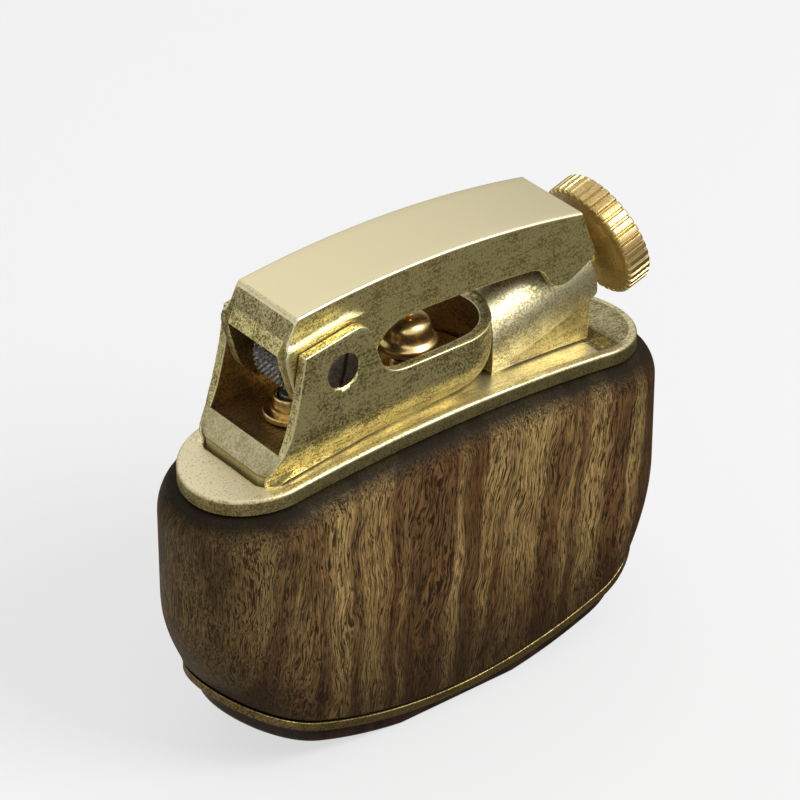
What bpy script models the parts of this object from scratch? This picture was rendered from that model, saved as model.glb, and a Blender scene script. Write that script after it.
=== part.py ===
"""Claw-lid petrol lighter with a wick: wood body, cast brass top works, rear push knob.

Metres, +Z up. The origin is the centre of the small flat that the body stands on. X runs along the
body, flame end at -X and push knob at +X. Y runs across it.
"""
import math

import bmesh
import bpy
from mathutils import Matrix, Vector

MM = 0.001
GAP = 0.25 * MM                       # space left between two pieces that touch

# ---- driving dimensions -------------------------------------------------------------------------
BODY_LENGTH = 57.0 * MM               # wood body, over its round ends
BODY_THICKNESS = 18.0 * MM
BODY_ARC = 50.0 * MM                  # radius of the curved bottom
FOOT_FLAT = 7.0 * MM                  # half length of the flat the body stands on
WOOD_BOTTOM = 2.7 * MM                # lowest point of the wood
WOOD_WALL_END = 5.6 * MM
WOOD_WALL_SIDE = 2.4 * MM

DECK_TOP = 34.2 * MM                  # top of the deck at its middle
DECK_ARC = 180.0 * MM                 # the deck falls away to both ends on this radius
DECK_LENGTH = 53.0 * MM
DECK_WIDTH = 14.5 * MM
DECK_BAND = 1.7 * MM                  # height of the deck's side band
RIM_WIDTH = 0.8 * MM
POCKET_DEPTH = 0.8 * MM
POCKET_REAR = 20.4 * MM               # the pocket ends in a straight wall across the deck

FRAME_WIDTH = 12.8 * MM
FRAME_WALL = 1.05 * MM
FRAME_FRONT = -22.0 * MM
FRAME_REAR = 7.9 * MM
FRAME_FLOOR = DECK_TOP + 1.7 * MM
SILL = DECK_TOP + 6.5 * MM            # top edge of the low wall round the wick

PIVOT_X = -13.2 * MM
PIVOT_Z = DECK_TOP + 9.0 * MM
PIVOT_RADIUS = 1.0 * MM
SCREW_HEAD = 1.85 * MM
WHEEL_RADIUS = 4.6 * MM
WHEEL_NEAR = -2.4 * MM
WHEEL_FAR = 1.8 * MM

LID_WIDTH = 9.26 * MM
LID_WALL = 1.05 * MM
LUG_WIDTH = 10.2 * MM
LUG_RADIUS = 5.0 * MM
LID_ARC = 109.0 * MM
LID_CROWN_X = -3.1 * MM
LID_CROWN_Z = DECK_TOP + 16.2 * MM
LID_FRONT = -17.5 * MM
LID_REAR = 17.2 * MM

WICK_X = -0.6 * MM
WICK_RADIUS = 1.25 * MM
FLINT_X = -14.6 * MM
FLINT_RADIUS = 1.15 * MM

BARREL_TILT = math.radians(18.0)
BARREL_RADIUS = 3.8 * MM
BARREL_BORE = 2.7 * MM
BARREL_START = 8.2 * MM
KNOB_X = 22.0 * MM                    # centre of the knob's inner face
KNOB_Z = DECK_TOP + 7.3 * MM
KNOB_RADIUS = 6.24 * MM
KNOB_THICKNESS = 2.7 * MM
KNOB_CLEAR = 2.6 * MM                 # barrel's end to the knob's inner face
SHANK_RADIUS = 1.9 * MM

FILLER_X = 12.0 * MM
TANK_LOW = 8.2 * MM
TANK_HIGH = 30.4 * MM
TANK_WALL = 0.6 * MM
TANK_LENGTH = BODY_LENGTH / 2 - WOOD_WALL_END - 0.4 * MM   # half of its length
TANK_WIDTH = BODY_THICKNESS / 2 - WOOD_WALL_SIDE - 0.4 * MM
BOSS_LOW = 4.6 * MM

ROUND_STEPS = 32
ARC_STEPS = 14
BELOW = -60.0 * MM                    # past everything: cutters run from BELOW to BEYOND
BEYOND = 60.0 * MM

for old in list(bpy.data.objects):
    bpy.data.objects.remove(old, do_unlink=True)

PARTS = bpy.data.collections.new("lighter")
CUTTERS = bpy.data.collections.new("cutters")
bpy.context.scene.collection.children.link(PARTS)
bpy.context.scene.collection.children.link(CUTTERS)


# ---- outlines, as lists of points -----------------------------------------------------------------
def arc(centre, radii, start, end, steps=ARC_STEPS):
    """Points on an ellipse about centre, from angle start to angle end in degrees."""
    angles = [math.radians(start + (end - start) * i / steps) for i in range(steps + 1)]
    return [(centre[0] + radii[0] * math.cos(a), centre[1] + radii[1] * math.sin(a)) for a in angles]


def sag(x_from, x_to, top, radius, crown=0.0, steps=ARC_STEPS):
    """Points on a flat circular arch: height top at crown, falling to both sides."""
    xs = [x_from + (x_to - x_from) * i / steps for i in range(steps + 1)]
    return [(x, top - (radius - math.sqrt(radius ** 2 - (x - crown) ** 2))) for x in xs]


def sweep(p0, p1, p2, p3, steps=10):
    """Points on a cubic curve from p0 to p3, drawn by the handles p1 and p2."""
    points = []
    for i in range(steps + 1):
        t = i / steps
        w = ((1 - t) ** 3, 3 * t * (1 - t) ** 2, 3 * t * t * (1 - t), t ** 3)
        points.append(tuple(sum(k * p[axis] for k, p in zip(w, (p0, p1, p2, p3))) for axis in (0, 1)))
    return points


def stadium(half_length, half_width):
    """A long outline with half-round ends."""
    flat = half_length - half_width
    right = arc((flat, 0), (half_width, half_width), -90, 90)
    left = arc((-flat, 0), (half_width, half_width), 90, 270)
    return right + left


def mm(points):
    """The same points, given in millimetres with heights measured from the deck's top."""
    return [(x * MM, DECK_TOP + z * MM) for x, z in points]


# ---- solids ---------------------------------------------------------------------------------------
def place(obj, cutter=False):
    (CUTTERS if cutter else PARTS).objects.link(obj)
    if cutter:
        obj.hide_render = True
        obj.display_type = "WIRE"
    return obj


def curve_to_mesh(name, curve, matrix, cutter):
    """Turns a curve into a closed mesh object: caps welded, placed by matrix."""
    guide = bpy.data.objects.new(name + "_curve", curve)
    PARTS.objects.link(guide)
    depsgraph = bpy.context.evaluated_depsgraph_get()
    mesh = bpy.data.meshes.new_from_object(guide.evaluated_get(depsgraph))
    bpy.data.objects.remove(guide, do_unlink=True)
    shape = bmesh.new()
    shape.from_mesh(mesh)
    bmesh.ops.remove_doubles(shape, verts=shape.verts, dist=1e-6)
    bmesh.ops.recalc_face_normals(shape, faces=shape.faces)
    shape.to_mesh(mesh)
    shape.free()
    obj = bpy.data.objects.new(name, mesh)
    obj.matrix_world = matrix
    return place(obj, cutter)


# Each plane's matrix stands the flat outline up: plan (XY), side view (XZ), end view (YZ).
PLANES = {
    "XY": Matrix.Identity(4),
    "XZ": Matrix(((1, 0, 0, 0), (0, 0, -1, 0), (0, 1, 0, 0), (0, 0, 0, 1))),
    "YZ": Matrix(((0, 0, 1, 0), (1, 0, 0, 0), (0, 1, 0, 0), (0, 0, 0, 1))),
}


def prism(name, outline, low, high, plane="XZ", cutter=False):
    """A flat outline given thickness, from low to high along the axis across its plane."""
    curve = bpy.data.curves.new(name, "CURVE")
    curve.dimensions = "2D"
    curve.fill_mode = "BOTH"
    curve.extrude = (high - low) / 2
    spline = curve.splines.new("POLY")
    spline.points.add(len(outline) - 1)
    for point, (u, v) in zip(spline.points, outline):
        point.co = (u, v, 0, 1)
    spline.use_cyclic_u = True
    across = {"XY": (0, 0, 1), "XZ": (0, 1, 0), "YZ": (1, 0, 0)}[plane]
    shift = Matrix.Translation(Vector(across) * (low + high) / 2)
    return curve_to_mesh(name, curve, shift @ PLANES[plane], cutter)


def upright(x, z=0.0):
    return Matrix.Translation((x, 0, z))


def sideways(x, z):
    """A turned piece's axis laid along +Y."""
    return Matrix.Translation((x, 0, z)) @ Matrix.Rotation(-math.pi / 2, 4, "X")


def along_barrel(distance=0.0):
    """The barrel's axis as +Z, with its zero at the knob's inner face."""
    turn = Matrix.Rotation(math.pi / 2 - BARREL_TILT, 4, "Y")
    return Matrix.Translation((KNOB_X, 0, KNOB_Z)) @ turn @ Matrix.Translation((0, 0, distance))


def turned(name, profile, matrix, closed=False, cutter=False, steps=ROUND_STEPS):
    """A turned piece: profile of (radius, height), down the outside from top to bottom."""
    mesh = bpy.data.meshes.new(name)
    edges = [(i, i + 1) for i in range(len(profile) - 1)]
    if closed:
        edges.append((len(profile) - 1, 0))
    mesh.from_pydata([(r, 0, h) for r, h in profile], edges, [])
    obj = place(bpy.data.objects.new(name, mesh), cutter)
    obj.matrix_world = matrix
    screw = obj.modifiers.new("turn", "SCREW")
    screw.steps = screw.render_steps = steps
    screw.use_merge_vertices = True
    screw.merge_threshold = 1e-6
    screw.use_smooth_shade = True
    return obj


def rod(radius, low, high):
    return [(0, high), (radius, high), (radius, low), (0, low)]


def ring(inner, outer, low, high):
    return [(outer, high), (outer, low), (inner, low), (inner, high)]


def wire(name, points, radius):
    """A bent wire along the points, with closed ends."""
    curve = bpy.data.curves.new(name, "CURVE")
    curve.dimensions = "3D"
    curve.bevel_depth = radius
    curve.bevel_resolution = 2
    curve.use_fill_caps = True
    spline = curve.splines.new("POLY")
    spline.points.add(len(points) - 1)
    for point, place_at in zip(spline.points, points):
        point.co = (*place_at, 1)
    return curve_to_mesh(name, curve, Matrix.Identity(4), False)


def coil(name, radius, low, high, turns, wire_radius, matrix):
    """A round wire wound along the matrix's Z axis, from low to high."""
    points = []
    steps = turns * 12
    for i in range(steps + 1):
        angle = 2 * math.pi * i / 12
        local = Vector((radius * math.cos(angle), radius * math.sin(angle), low + (high - low) * i / steps))
        points.append(tuple(matrix @ local))
    return wire(name, points, wire_radius)


def boolean(target, other, operation="DIFFERENCE"):
    step = target.modifiers.new(operation.lower(), "BOOLEAN")
    step.operation = operation
    step.solver = "EXACT"
    step.object = other
    return target


def finish(obj, colour, roughness, metallic=1.0):
    material = bpy.data.materials.new(obj.name)
    material.use_nodes = True
    shader = material.node_tree.nodes["Principled BSDF"]
    shader.inputs["Base Color"].default_value = (*colour, 1)
    shader.inputs["Roughness"].default_value = roughness
    shader.inputs["Metallic"].default_value = metallic
    obj.data.materials.append(material)


CAST_BRASS = (0.42, 0.35, 0.13)
BRIGHT_BRASS = (0.68, 0.52, 0.20)
GOLD_BRASS = (0.60, 0.38, 0.12)
DARK_STEEL = (0.07, 0.055, 0.05)
SPRING_STEEL = (0.45, 0.45, 0.46)


# ---- body: wood, base and tank ----------------------------------------------------------------------
def bottom_arc(height, x_from, x_to):
    """The body's curved bottom line at a height over its middle."""
    return sag(x_from, x_to, -height, BODY_ARC)


def below(points):
    return [(x, -z) for x, z in points]


def make_wood_shell():
    half = BODY_LENGTH / 2
    top = DECK_TOP - DECK_BAND - GAP
    turn_x = 20.5 * MM
    corner_low = -bottom_arc(WOOD_BOTTOM, turn_x, turn_x + MM)[0][1]
    slope = turn_x / BODY_ARC
    corner = sweep((turn_x, corner_low), (turn_x + 4.5 * MM, corner_low + 4.5 * MM * slope),
                   (half, 10.5 * MM), (half, 16.0 * MM))
    outline = below(bottom_arc(WOOD_BOTTOM, -turn_x, turn_x)) + corner[1:]
    outline += sag(half, -half, top, DECK_ARC)
    outline += [(-x, z) for x, z in reversed(corner[1:])]
    wood = prism("wood_shell", outline, -BODY_THICKNESS / 2, BODY_THICKNESS / 2)
    plan = prism("wood_plan", stadium(half, BODY_THICKNESS / 2), BELOW, BEYOND, "XY", cutter=True)
    boolean(wood, plan, "INTERSECT")
    inside = stadium(half - WOOD_WALL_END, BODY_THICKNESS / 2 - WOOD_WALL_SIDE)
    boolean(wood, prism("wood_bore", inside, BELOW, BEYOND, "XY", cutter=True))
    finish(wood, (0.16, 0.075, 0.03), 0.35, 0.0)


def make_curved_plate(name, half_length, half_width, low, high, flat=0.0):
    """A plate on the body's curved bottom, between two heights, with an optional flat foot."""
    reach = BODY_LENGTH / 2
    top = below(bottom_arc(high, -reach, reach))
    if flat:
        lift = -bottom_arc(0.0, flat, flat + MM)[0][1]
        right = [(x, z - lift) for x, z in below(bottom_arc(0.0, flat, reach))]
        bottom = list(reversed(right)) + [(-x, z) for x, z in right]
    else:
        bottom = list(reversed(below(bottom_arc(low, -reach, reach))))
    plate = prism(name, top + bottom, -half_width - MM, half_width + MM)
    plan = prism(name + "_plan", stadium(half_length, half_width), BELOW, BEYOND, "XY", cutter=True)
    return boolean(plate, plan, "INTERSECT")


def make_base():
    plate_top = WOOD_BOTTOM - GAP
    plate_low = plate_top - 1.0 * MM
    plate = make_curved_plate("base_plate", 26.3 * MM, 8.3 * MM, plate_low, plate_top)
    inlay = make_curved_plate("base_inlay", 24.6 * MM, 7.4 * MM, 0.0, plate_low - GAP, FOOT_FLAT)
    for piece in (plate, inlay):
        for x, radius in ((FILLER_X, 3.0 * MM), (FLINT_X, 2.6 * MM)):
            hole = turned(piece.name + "_hole", rod(radius, BELOW, BEYOND), upright(x), cutter=True)
            boolean(piece, hole)
    finish(plate, BRIGHT_BRASS, 0.35)
    finish(inlay, (0.05, 0.02, 0.012), 0.4, 0.0)


def make_tank():
    """Soldered brass tank, open at the top, with a filler boss below and a hole for the flint tube."""
    tank = prism("fuel_tank", stadium(TANK_LENGTH, TANK_WIDTH), TANK_LOW, TANK_HIGH, "XY")
    boss = turned("filler_boss", rod(2.7 * MM, BOSS_LOW, TANK_LOW + 0.5 * TANK_WALL),
                  upright(FILLER_X), cutter=True)
    boolean(tank, boss, "UNION")
    inside = stadium(TANK_LENGTH - TANK_WALL, TANK_WIDTH - TANK_WALL)
    boolean(tank, prism("tank_inside", inside, TANK_LOW + TANK_WALL, BEYOND, "XY", cutter=True))
    for x, radius in ((FILLER_X, 1.8 * MM), (FLINT_X, 2.3 * MM)):
        boolean(tank, turned("tank_hole", rod(radius, BELOW, 12.0 * MM), upright(x), cutter=True))
    finish(tank, BRIGHT_BRASS, 0.4)

    room = TANK_WIDTH - TANK_WALL - GAP
    low = TANK_LOW + TANK_WALL + GAP
    left = -11.0 * MM
    right = TANK_LENGTH - TANK_WALL - GAP
    block = [(left, -room)] + arc((right - room, 0), (room, room), -90, 90) + [(left, room)]
    wadding = prism("wadding", block, low, 26.0 * MM, "XY")
    for x, radius, top in ((WICK_X, WICK_RADIUS + GAP, BEYOND), (FILLER_X, 2.1 * MM, 14.0 * MM)):
        boolean(wadding, turned("wadding_hole", rod(radius, BELOW, top), upright(x), cutter=True))
    finish(wadding, (0.8, 0.78, 0.72), 0.9, 0.0)


def slotted_head(screw, x, z, radius, depth):
    """Cuts a screwdriver slot across the lower face of an upright screw."""
    half = 0.3 * MM
    left = x - radius - MM
    right = x + radius + MM
    outline = [(left, -half), (right, -half), (right, half), (left, half)]
    boolean(screw, prism(screw.name + "_slot", outline, z - MM, z + depth, "XY", cutter=True))


def make_bottom_screws():
    """Filler screw with its washer, and the screw that shuts the flint tube."""
    head_low = 1.3 * MM
    head_high = 3.2 * MM
    profile = [(0, TANK_LOW + 0.8 * MM), (1.5 * MM, TANK_LOW + 0.8 * MM), (1.5 * MM, head_high),
               (2.7 * MM, head_high), (2.7 * MM, head_low), (0, head_low)]
    filler = turned("filler_screw", profile, upright(FILLER_X))
    slotted_head(filler, FILLER_X, head_low, 2.7 * MM, 0.7 * MM)
    finish(filler, BRIGHT_BRASS, 0.3)
    washer = turned("filler_washer", ring(1.75 * MM, 2.5 * MM, head_high + GAP, BOSS_LOW - GAP),
                    upright(FILLER_X), closed=True)
    finish(washer, (0.03, 0.03, 0.03), 0.7, 0.0)
    low = 2.0 * MM
    shoulder = 4.0 * MM
    profile = [(0, 12.0 * MM), (1.1 * MM, 12.0 * MM), (1.1 * MM, shoulder),
               (2.3 * MM, shoulder), (2.3 * MM, low), (0, low)]
    flint_screw = turned("flint_screw", profile, upright(FLINT_X))
    slotted_head(flint_screw, FLINT_X, low, 2.3 * MM, 0.7 * MM)
    finish(flint_screw, BRIGHT_BRASS, 0.3)


# ---- deck -------------------------------------------------------------------------------------------
def deck_line(drop, x_from, x_to):
    return sag(x_from, x_to, DECK_TOP - drop, DECK_ARC)


def make_deck():
    reach = DECK_LENGTH / 2 + MM
    band = deck_line(0, -reach, reach) + deck_line(DECK_BAND, reach, -reach)
    deck = prism("deck_plate", band, -DECK_WIDTH, DECK_WIDTH)
    plan = stadium(DECK_LENGTH / 2, DECK_WIDTH / 2)
    boolean(deck, prism("deck_plan", plan, BELOW, BEYOND, "XY", cutter=True), "INTERSECT")
    room = DECK_WIDTH / 2 - RIM_WIDTH
    round_centre = DECK_LENGTH / 2 - DECK_WIDTH / 2
    near_side = arc((round_centre, 0), (room, room), -90, -80, 4)
    far_side = arc((round_centre, 0), (room, room), 80, 90, 4)
    across = math.sqrt(room ** 2 - (POCKET_REAR - round_centre) ** 2)
    rear = near_side + [(POCKET_REAR, -across), (POCKET_REAR, across)] + far_side
    front = FRAME_FRONT - 0.3 * MM
    pocket_plan = [(front, -4.6 * MM), (front + 2.6 * MM, -room)] + rear
    pocket_plan += [(front + 2.6 * MM, room), (front, 4.6 * MM)]
    pocket = prism("pocket", pocket_plan, BELOW, BEYOND, "XY", cutter=True)
    depth = deck_line(POCKET_DEPTH, -reach, reach) + [(reach, BEYOND), (-reach, BEYOND)]
    boolean(pocket, prism("pocket_depth", depth, BELOW, BEYOND, cutter=True), "INTERSECT")
    boolean(deck, pocket)
    for x, radius in ((WICK_X, 2.3 * MM), (FLINT_X, 2.2 * MM)):
        boolean(deck, turned("deck_hole", rod(radius, BELOW, BEYOND), upright(x), cutter=True))
    finish(deck, BRIGHT_BRASS, 0.35)


# ---- frame ------------------------------------------------------------------------------------------
def frame_side_view():
    """Side view of the casting: raked front, rounded ear, low sill round to the rear."""
    front = mm([(-22.0, -0.4), (-21.6, 0.0), (-20.9, 1.0), (-20.2, 2.0), (-19.35, 4.0), (-18.8, 6.0),
                (-18.3, 8.0), (-17.95, 10.0)])
    ear = mm([(-17.6, 12.0), (-11.6, 13.05)] + arc((-11.5, 11.2), (1.75, 1.85), 85, 10, 8)
             + [(-9.4, 10.4), (-9.0, 9.0)])
    dip = sweep(mm([(-9.0, 9.0)])[0], mm([(-8.4, 7.2)])[0], mm([(-7.4, 6.5)])[0], (-5.2 * MM, SILL))
    rear = [(FRAME_REAR + MM, SILL)]
    under = deck_line(POCKET_DEPTH - GAP, FRAME_REAR + MM, FRAME_FRONT)
    return front + ear + dip[1:] + rear + under


def frame_plan(inset, open_front):
    """Plan of the casting, or of its inside: straight sides and a round rear."""
    half = FRAME_WIDTH / 2 - inset
    rear_centre = FRAME_REAR - FRAME_WIDTH / 2 + 0.3 * MM
    rear = arc((rear_centre, 0), (FRAME_REAR - inset - rear_centre, half), -90, 90)
    if open_front:
        return [(BELOW, -half)] + rear + [(BELOW, half)]
    corner = 1.2 * MM
    near = arc((FRAME_FRONT + corner, -half + corner), (corner, corner), 180, 270, 6)
    far = arc((FRAME_FRONT + corner, half - corner), (corner, corner), 90, 180, 6)
    return near + rear + far


def make_frame():
    frame = prism("frame", frame_side_view(), -FRAME_WIDTH / 2 - MM, FRAME_WIDTH / 2 + MM)
    boolean(frame, prism("frame_plan", frame_plan(0, False), BELOW, BEYOND, "XY", cutter=True), "INTERSECT")
    inside = prism("frame_inside", frame_plan(FRAME_WALL, True), FRAME_FLOOR, BEYOND, "XY", cutter=True)
    boolean(frame, inside)
    # The sides draw in towards the foot on a quarter ellipse.
    for side in (-1, 1):
        belly = arc((3.9 * MM, DECK_TOP + 3.6 * MM), (2.5 * MM, 4.9 * MM), 0, -88)
        outline = belly + [(3.9 * MM, 0), (BEYOND, 0), (BEYOND, DECK_TOP + 3.6 * MM)]
        outline = [(side * y, z) for y, z in outline]
        boolean(frame, prism("belly", outline, BELOW, BEYOND, "YZ", cutter=True))
    near = FRAME_WIDTH / 2
    hole = [(0, BEYOND), (1.2 * MM, BEYOND), (1.2 * MM, -near + 0.65 * MM),
            (2.05 * MM, -near + 0.65 * MM), (2.05 * MM, BELOW), (0, BELOW)]
    boolean(frame, turned("screw_hole", hole, sideways(PIVOT_X, PIVOT_Z), cutter=True))
    for x, radius in ((WICK_X, 2.3 * MM), (FLINT_X, 2.2 * MM)):
        boolean(frame, turned("frame_hole", rod(radius, BELOW, FRAME_FLOOR + MM), upright(x), cutter=True))
    finish(frame, CAST_BRASS, 0.4)


def make_tubes():
    """Flint tube and wick tube, each clamping the frame to the deck by its flange."""
    flange_low = FRAME_FLOOR + GAP
    flange_high = flange_low + 0.5 * MM
    profile = [(1.75 * MM, DECK_TOP + 3.9 * MM), (1.75 * MM, flange_high), (2.8 * MM, flange_high),
               (2.8 * MM, flange_low), (1.9 * MM, flange_low), (1.9 * MM, 4.3 * MM),
               (1.35 * MM, 4.3 * MM), (1.35 * MM, DECK_TOP + 3.9 * MM)]
    tube = turned("flint_tube", profile, upright(FLINT_X), closed=True)
    finish(tube, GOLD_BRASS, 0.25)
    flint_top = DECK_TOP + 4.3 * MM
    flint = turned("flint", rod(FLINT_RADIUS, flint_top - 5.0 * MM, flint_top), upright(FLINT_X), steps=20)
    finish(flint, (0.25, 0.25, 0.26), 0.6)
    spring = coil("flint_spring", 0.85 * MM, 12.8 * MM, flint_top - 5.5 * MM, 13, 0.17 * MM, upright(FLINT_X))
    finish(spring, SPRING_STEEL, 0.3)

    profile = [(1.9 * MM, DECK_TOP + 3.0 * MM), (1.9 * MM, flange_high), (2.9 * MM, flange_high),
               (2.9 * MM, flange_low), (2.0 * MM, flange_low), (2.0 * MM, 28.0 * MM),
               (1.5 * MM, 28.0 * MM), (1.5 * MM, DECK_TOP + 3.0 * MM)]
    tube = turned("wick_tube", profile, upright(WICK_X), closed=True)
    finish(tube, BRIGHT_BRASS, 0.3)
    wick = turned("wick", rod(WICK_RADIUS, 12.0 * MM, DECK_TOP + 4.6 * MM), upright(WICK_X), steps=20)
    finish(wick, (0.75, 0.72, 0.64), 0.95, 0.0)


# ---- pivot, wheel and spring ---------------------------------------------------------------------------
def make_pivot():
    half = FRAME_WIDTH / 2 - 0.05 * MM
    head_in = -half + 0.55 * MM
    profile = [(0, half), (PIVOT_RADIUS, half), (PIVOT_RADIUS, head_in), (SCREW_HEAD, head_in),
               (SCREW_HEAD, -half), (0, -half)]
    screw = turned("pivot_screw", profile, sideways(PIVOT_X, PIVOT_Z))
    slot = [(-0.28 * MM, -3 * MM), (0.28 * MM, -3 * MM), (0.28 * MM, 3 * MM), (-0.28 * MM, 3 * MM)]
    lean = math.radians(-14)
    slot = [(PIVOT_X + u * math.cos(lean) - v * math.sin(lean),
             PIVOT_Z + u * math.sin(lean) + v * math.cos(lean)) for u, v in slot]
    boolean(screw, prism("screw_slot", slot, -half - MM, -half + 0.35 * MM, cutter=True))
    finish(screw, DARK_STEEL, 0.35)

    bore = PIVOT_RADIUS + GAP
    wheel = turned("striker_wheel", ring(bore, WHEEL_RADIUS, WHEEL_NEAR, WHEEL_FAR),
                   sideways(PIVOT_X, PIVOT_Z), closed=True, steps=48)
    finish(wheel, (0.22, 0.22, 0.21), 0.45)

    # Saw-tooth disc that the lid's pawl catches, so that the wheel turns one way only.
    teeth = 12
    outline = []
    for i in range(teeth):
        for turn, radius in ((0.0, 2.9 * MM), (0.85, 3.5 * MM)):
            a = 2 * math.pi * (i + turn) / teeth
            outline.append((PIVOT_X + radius * math.cos(a), PIVOT_Z + radius * math.sin(a)))
    disc = prism("ratchet_disc", outline, WHEEL_FAR + GAP, WHEEL_FAR + GAP + 0.6 * MM)
    boolean(disc, turned("disc_bore", rod(bore, BELOW, BEYOND), sideways(PIVOT_X, PIVOT_Z), cutter=True))
    finish(disc, SPRING_STEEL, 0.35)

    tip = math.radians(52)
    tip = (PIVOT_X + 3.85 * MM * math.cos(tip), PIVOT_Z + 3.85 * MM * math.sin(tip))
    pawl = prism("pawl", [tip, (tip[0] + 0.3 * MM, tip[1] - 0.5 * MM), (-7.3 * MM, DECK_TOP + 11.9 * MM),
                          (-7.0 * MM, DECK_TOP + 12.7 * MM), (-7.6 * MM, DECK_TOP + 13.2 * MM)],
                 WHEEL_FAR + GAP, WHEEL_FAR + GAP + 0.6 * MM)
    pin = turned("pawl_pin", rod(0.35 * MM, WHEEL_FAR + 0.4 * MM, LID_WIDTH / 2 - LID_WALL - GAP),
                 sideways(-7.7 * MM, DECK_TOP + 12.5 * MM), cutter=True, steps=12)
    boolean(pawl, pin, "UNION")
    finish(pawl, SPRING_STEEL, 0.35)

    coil_radius = 2.1 * MM
    points = [(-9.6 * MM, -3.3 * MM, DECK_TOP + 13.6 * MM)]
    turns = 1.55
    steps = 26
    for i in range(steps + 1):
        a = math.radians(35) - 2 * math.pi * turns * i / steps
        y = -3.3 * MM + 0.62 * MM * i / steps
        points.append((PIVOT_X + coil_radius * math.cos(a), y, PIVOT_Z + coil_radius * math.sin(a)))
    points.append((-8.6 * MM, -2.68 * MM, DECK_TOP + 3.4 * MM))
    finish(wire("lid_spring", points, 0.17 * MM), SPRING_STEEL, 0.3)


# ---- lid ---------------------------------------------------------------------------------------------
def lug_arc(start, end):
    return arc((PIVOT_X, PIVOT_Z), (LUG_RADIUS, LUG_RADIUS), start, end)


def lid_side_view():
    """Side view of the arm: arched top, rear claw, arch over the wick, round lug at the pivot."""
    top = sag(LID_FRONT, LID_REAR, LID_CROWN_Z, LID_ARC, LID_CROWN_X, 20)
    rear = mm([(18.5, 11.2), (19.0, 9.8), (18.7, 8.9)])
    claw = mm([(17.9, 8.2), (16.2, 7.25), (15.3, 7.0), (14.6, 7.05), (13.8, 7.4), (13.2, 8.0),
               (12.9, 8.8), (12.4, 9.5), (11.6, 9.9)])
    arch = mm([(9.0, 10.2), (4.5, 10.55), (1.0, 10.75), (-2.3, 10.8), (-4.6, 10.7)])
    lobe = sweep(*mm([(-4.6, 10.7), (-6.6, 10.5), (-7.2, 9.2), (-7.6, 8.0)]))
    front = mm([(-18.9, 10.1), (-19.3, 11.7), (-17.75, 15.0)])
    return top + rear + claw + arch + lobe[1:] + lug_arc(-15, -165) + front


def make_lid():
    half = LID_WIDTH / 2
    lid = prism("lid", lid_side_view(), -half, half)
    lug = lug_arc(-15, -165) + mm([(-18.9, 10.1), (-19.3, 11.7), (-17.6, 12.3), (-11.5, 13.35)])
    lug += mm(arc((-11.5, 11.3), (1.9, 2.0), 80, 5, 8) + [(-8.9, 9.0)])
    for side in (-1, 1):
        span = sorted((side * (half - 0.6 * MM), side * LUG_WIDTH / 2))
        boolean(lid, prism("lug", lug, *span, cutter=True), "UNION")
    roof = sag(-16.9 * MM, 16.3 * MM, LID_CROWN_Z - 1.1 * MM, LID_ARC, LID_CROWN_X)
    inside = mm([(-30, -8), (-30, 11.6), (-18.2, 11.6)]) + roof + mm([(17.3, 10.9), (30, 10.9), (30, -8)])
    inner = half - LID_WALL
    boolean(lid, prism("lid_inside", inside, -inner, inner, cutter=True))
    catch = mm([(16.1, 11.4), (16.9, 11.4), (16.9, 13.9), (16.1, 13.9)])
    boolean(lid, prism("catch", catch, -1.2 * MM, 1.2 * MM, cutter=True), "UNION")
    bore = rod(PIVOT_RADIUS + GAP, BELOW, BEYOND)
    boolean(lid, turned("lid_bore", bore, sideways(PIVOT_X, PIVOT_Z), cutter=True))
    finish(lid, BRIGHT_BRASS, 0.35)


def make_snuffer():
    """Turned cap over the wick, and the stem that hangs it from the lid's roof."""
    low = DECK_TOP + 3.9 * MM
    neck = low + 3.5 * MM
    dome = arc((0.75 * MM, low + 1.4 * MM), (1.65 * MM, 2.1 * MM), 90, 0, 8)
    profile = [(0, neck)] + dome + [(2.4 * MM, low + 0.95 * MM), (2.9 * MM, low + 0.8 * MM),
                                    (3.0 * MM, low + 0.4 * MM), (2.8 * MM, low), (2.1 * MM, low),
                                    (2.1 * MM, low + 1.7 * MM), (0, low + 1.7 * MM)]
    cap = turned("snuffer_cap", profile, upright(WICK_X))
    finish(cap, GOLD_BRASS, 0.2)
    roof = LID_CROWN_Z - 1.1 * MM - GAP - 0.05 * MM
    profile = [(0, roof), (1.6 * MM, roof), (1.6 * MM, roof - 0.5 * MM), (0.7 * MM, roof - 0.5 * MM),
               (0.7 * MM, neck + GAP), (0, neck + GAP)]
    stem = turned("snuffer_stem", profile, upright(WICK_X), steps=20)
    finish(stem, GOLD_BRASS, 0.25)


# ---- barrel and push knob ---------------------------------------------------------------------------------
BARREL_END = -KNOB_CLEAR
BARREL_INNER = BARREL_END - 13.5 * MM


def axis_height(x):
    return KNOB_Z + (x - KNOB_X) * math.tan(BARREL_TILT)


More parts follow.
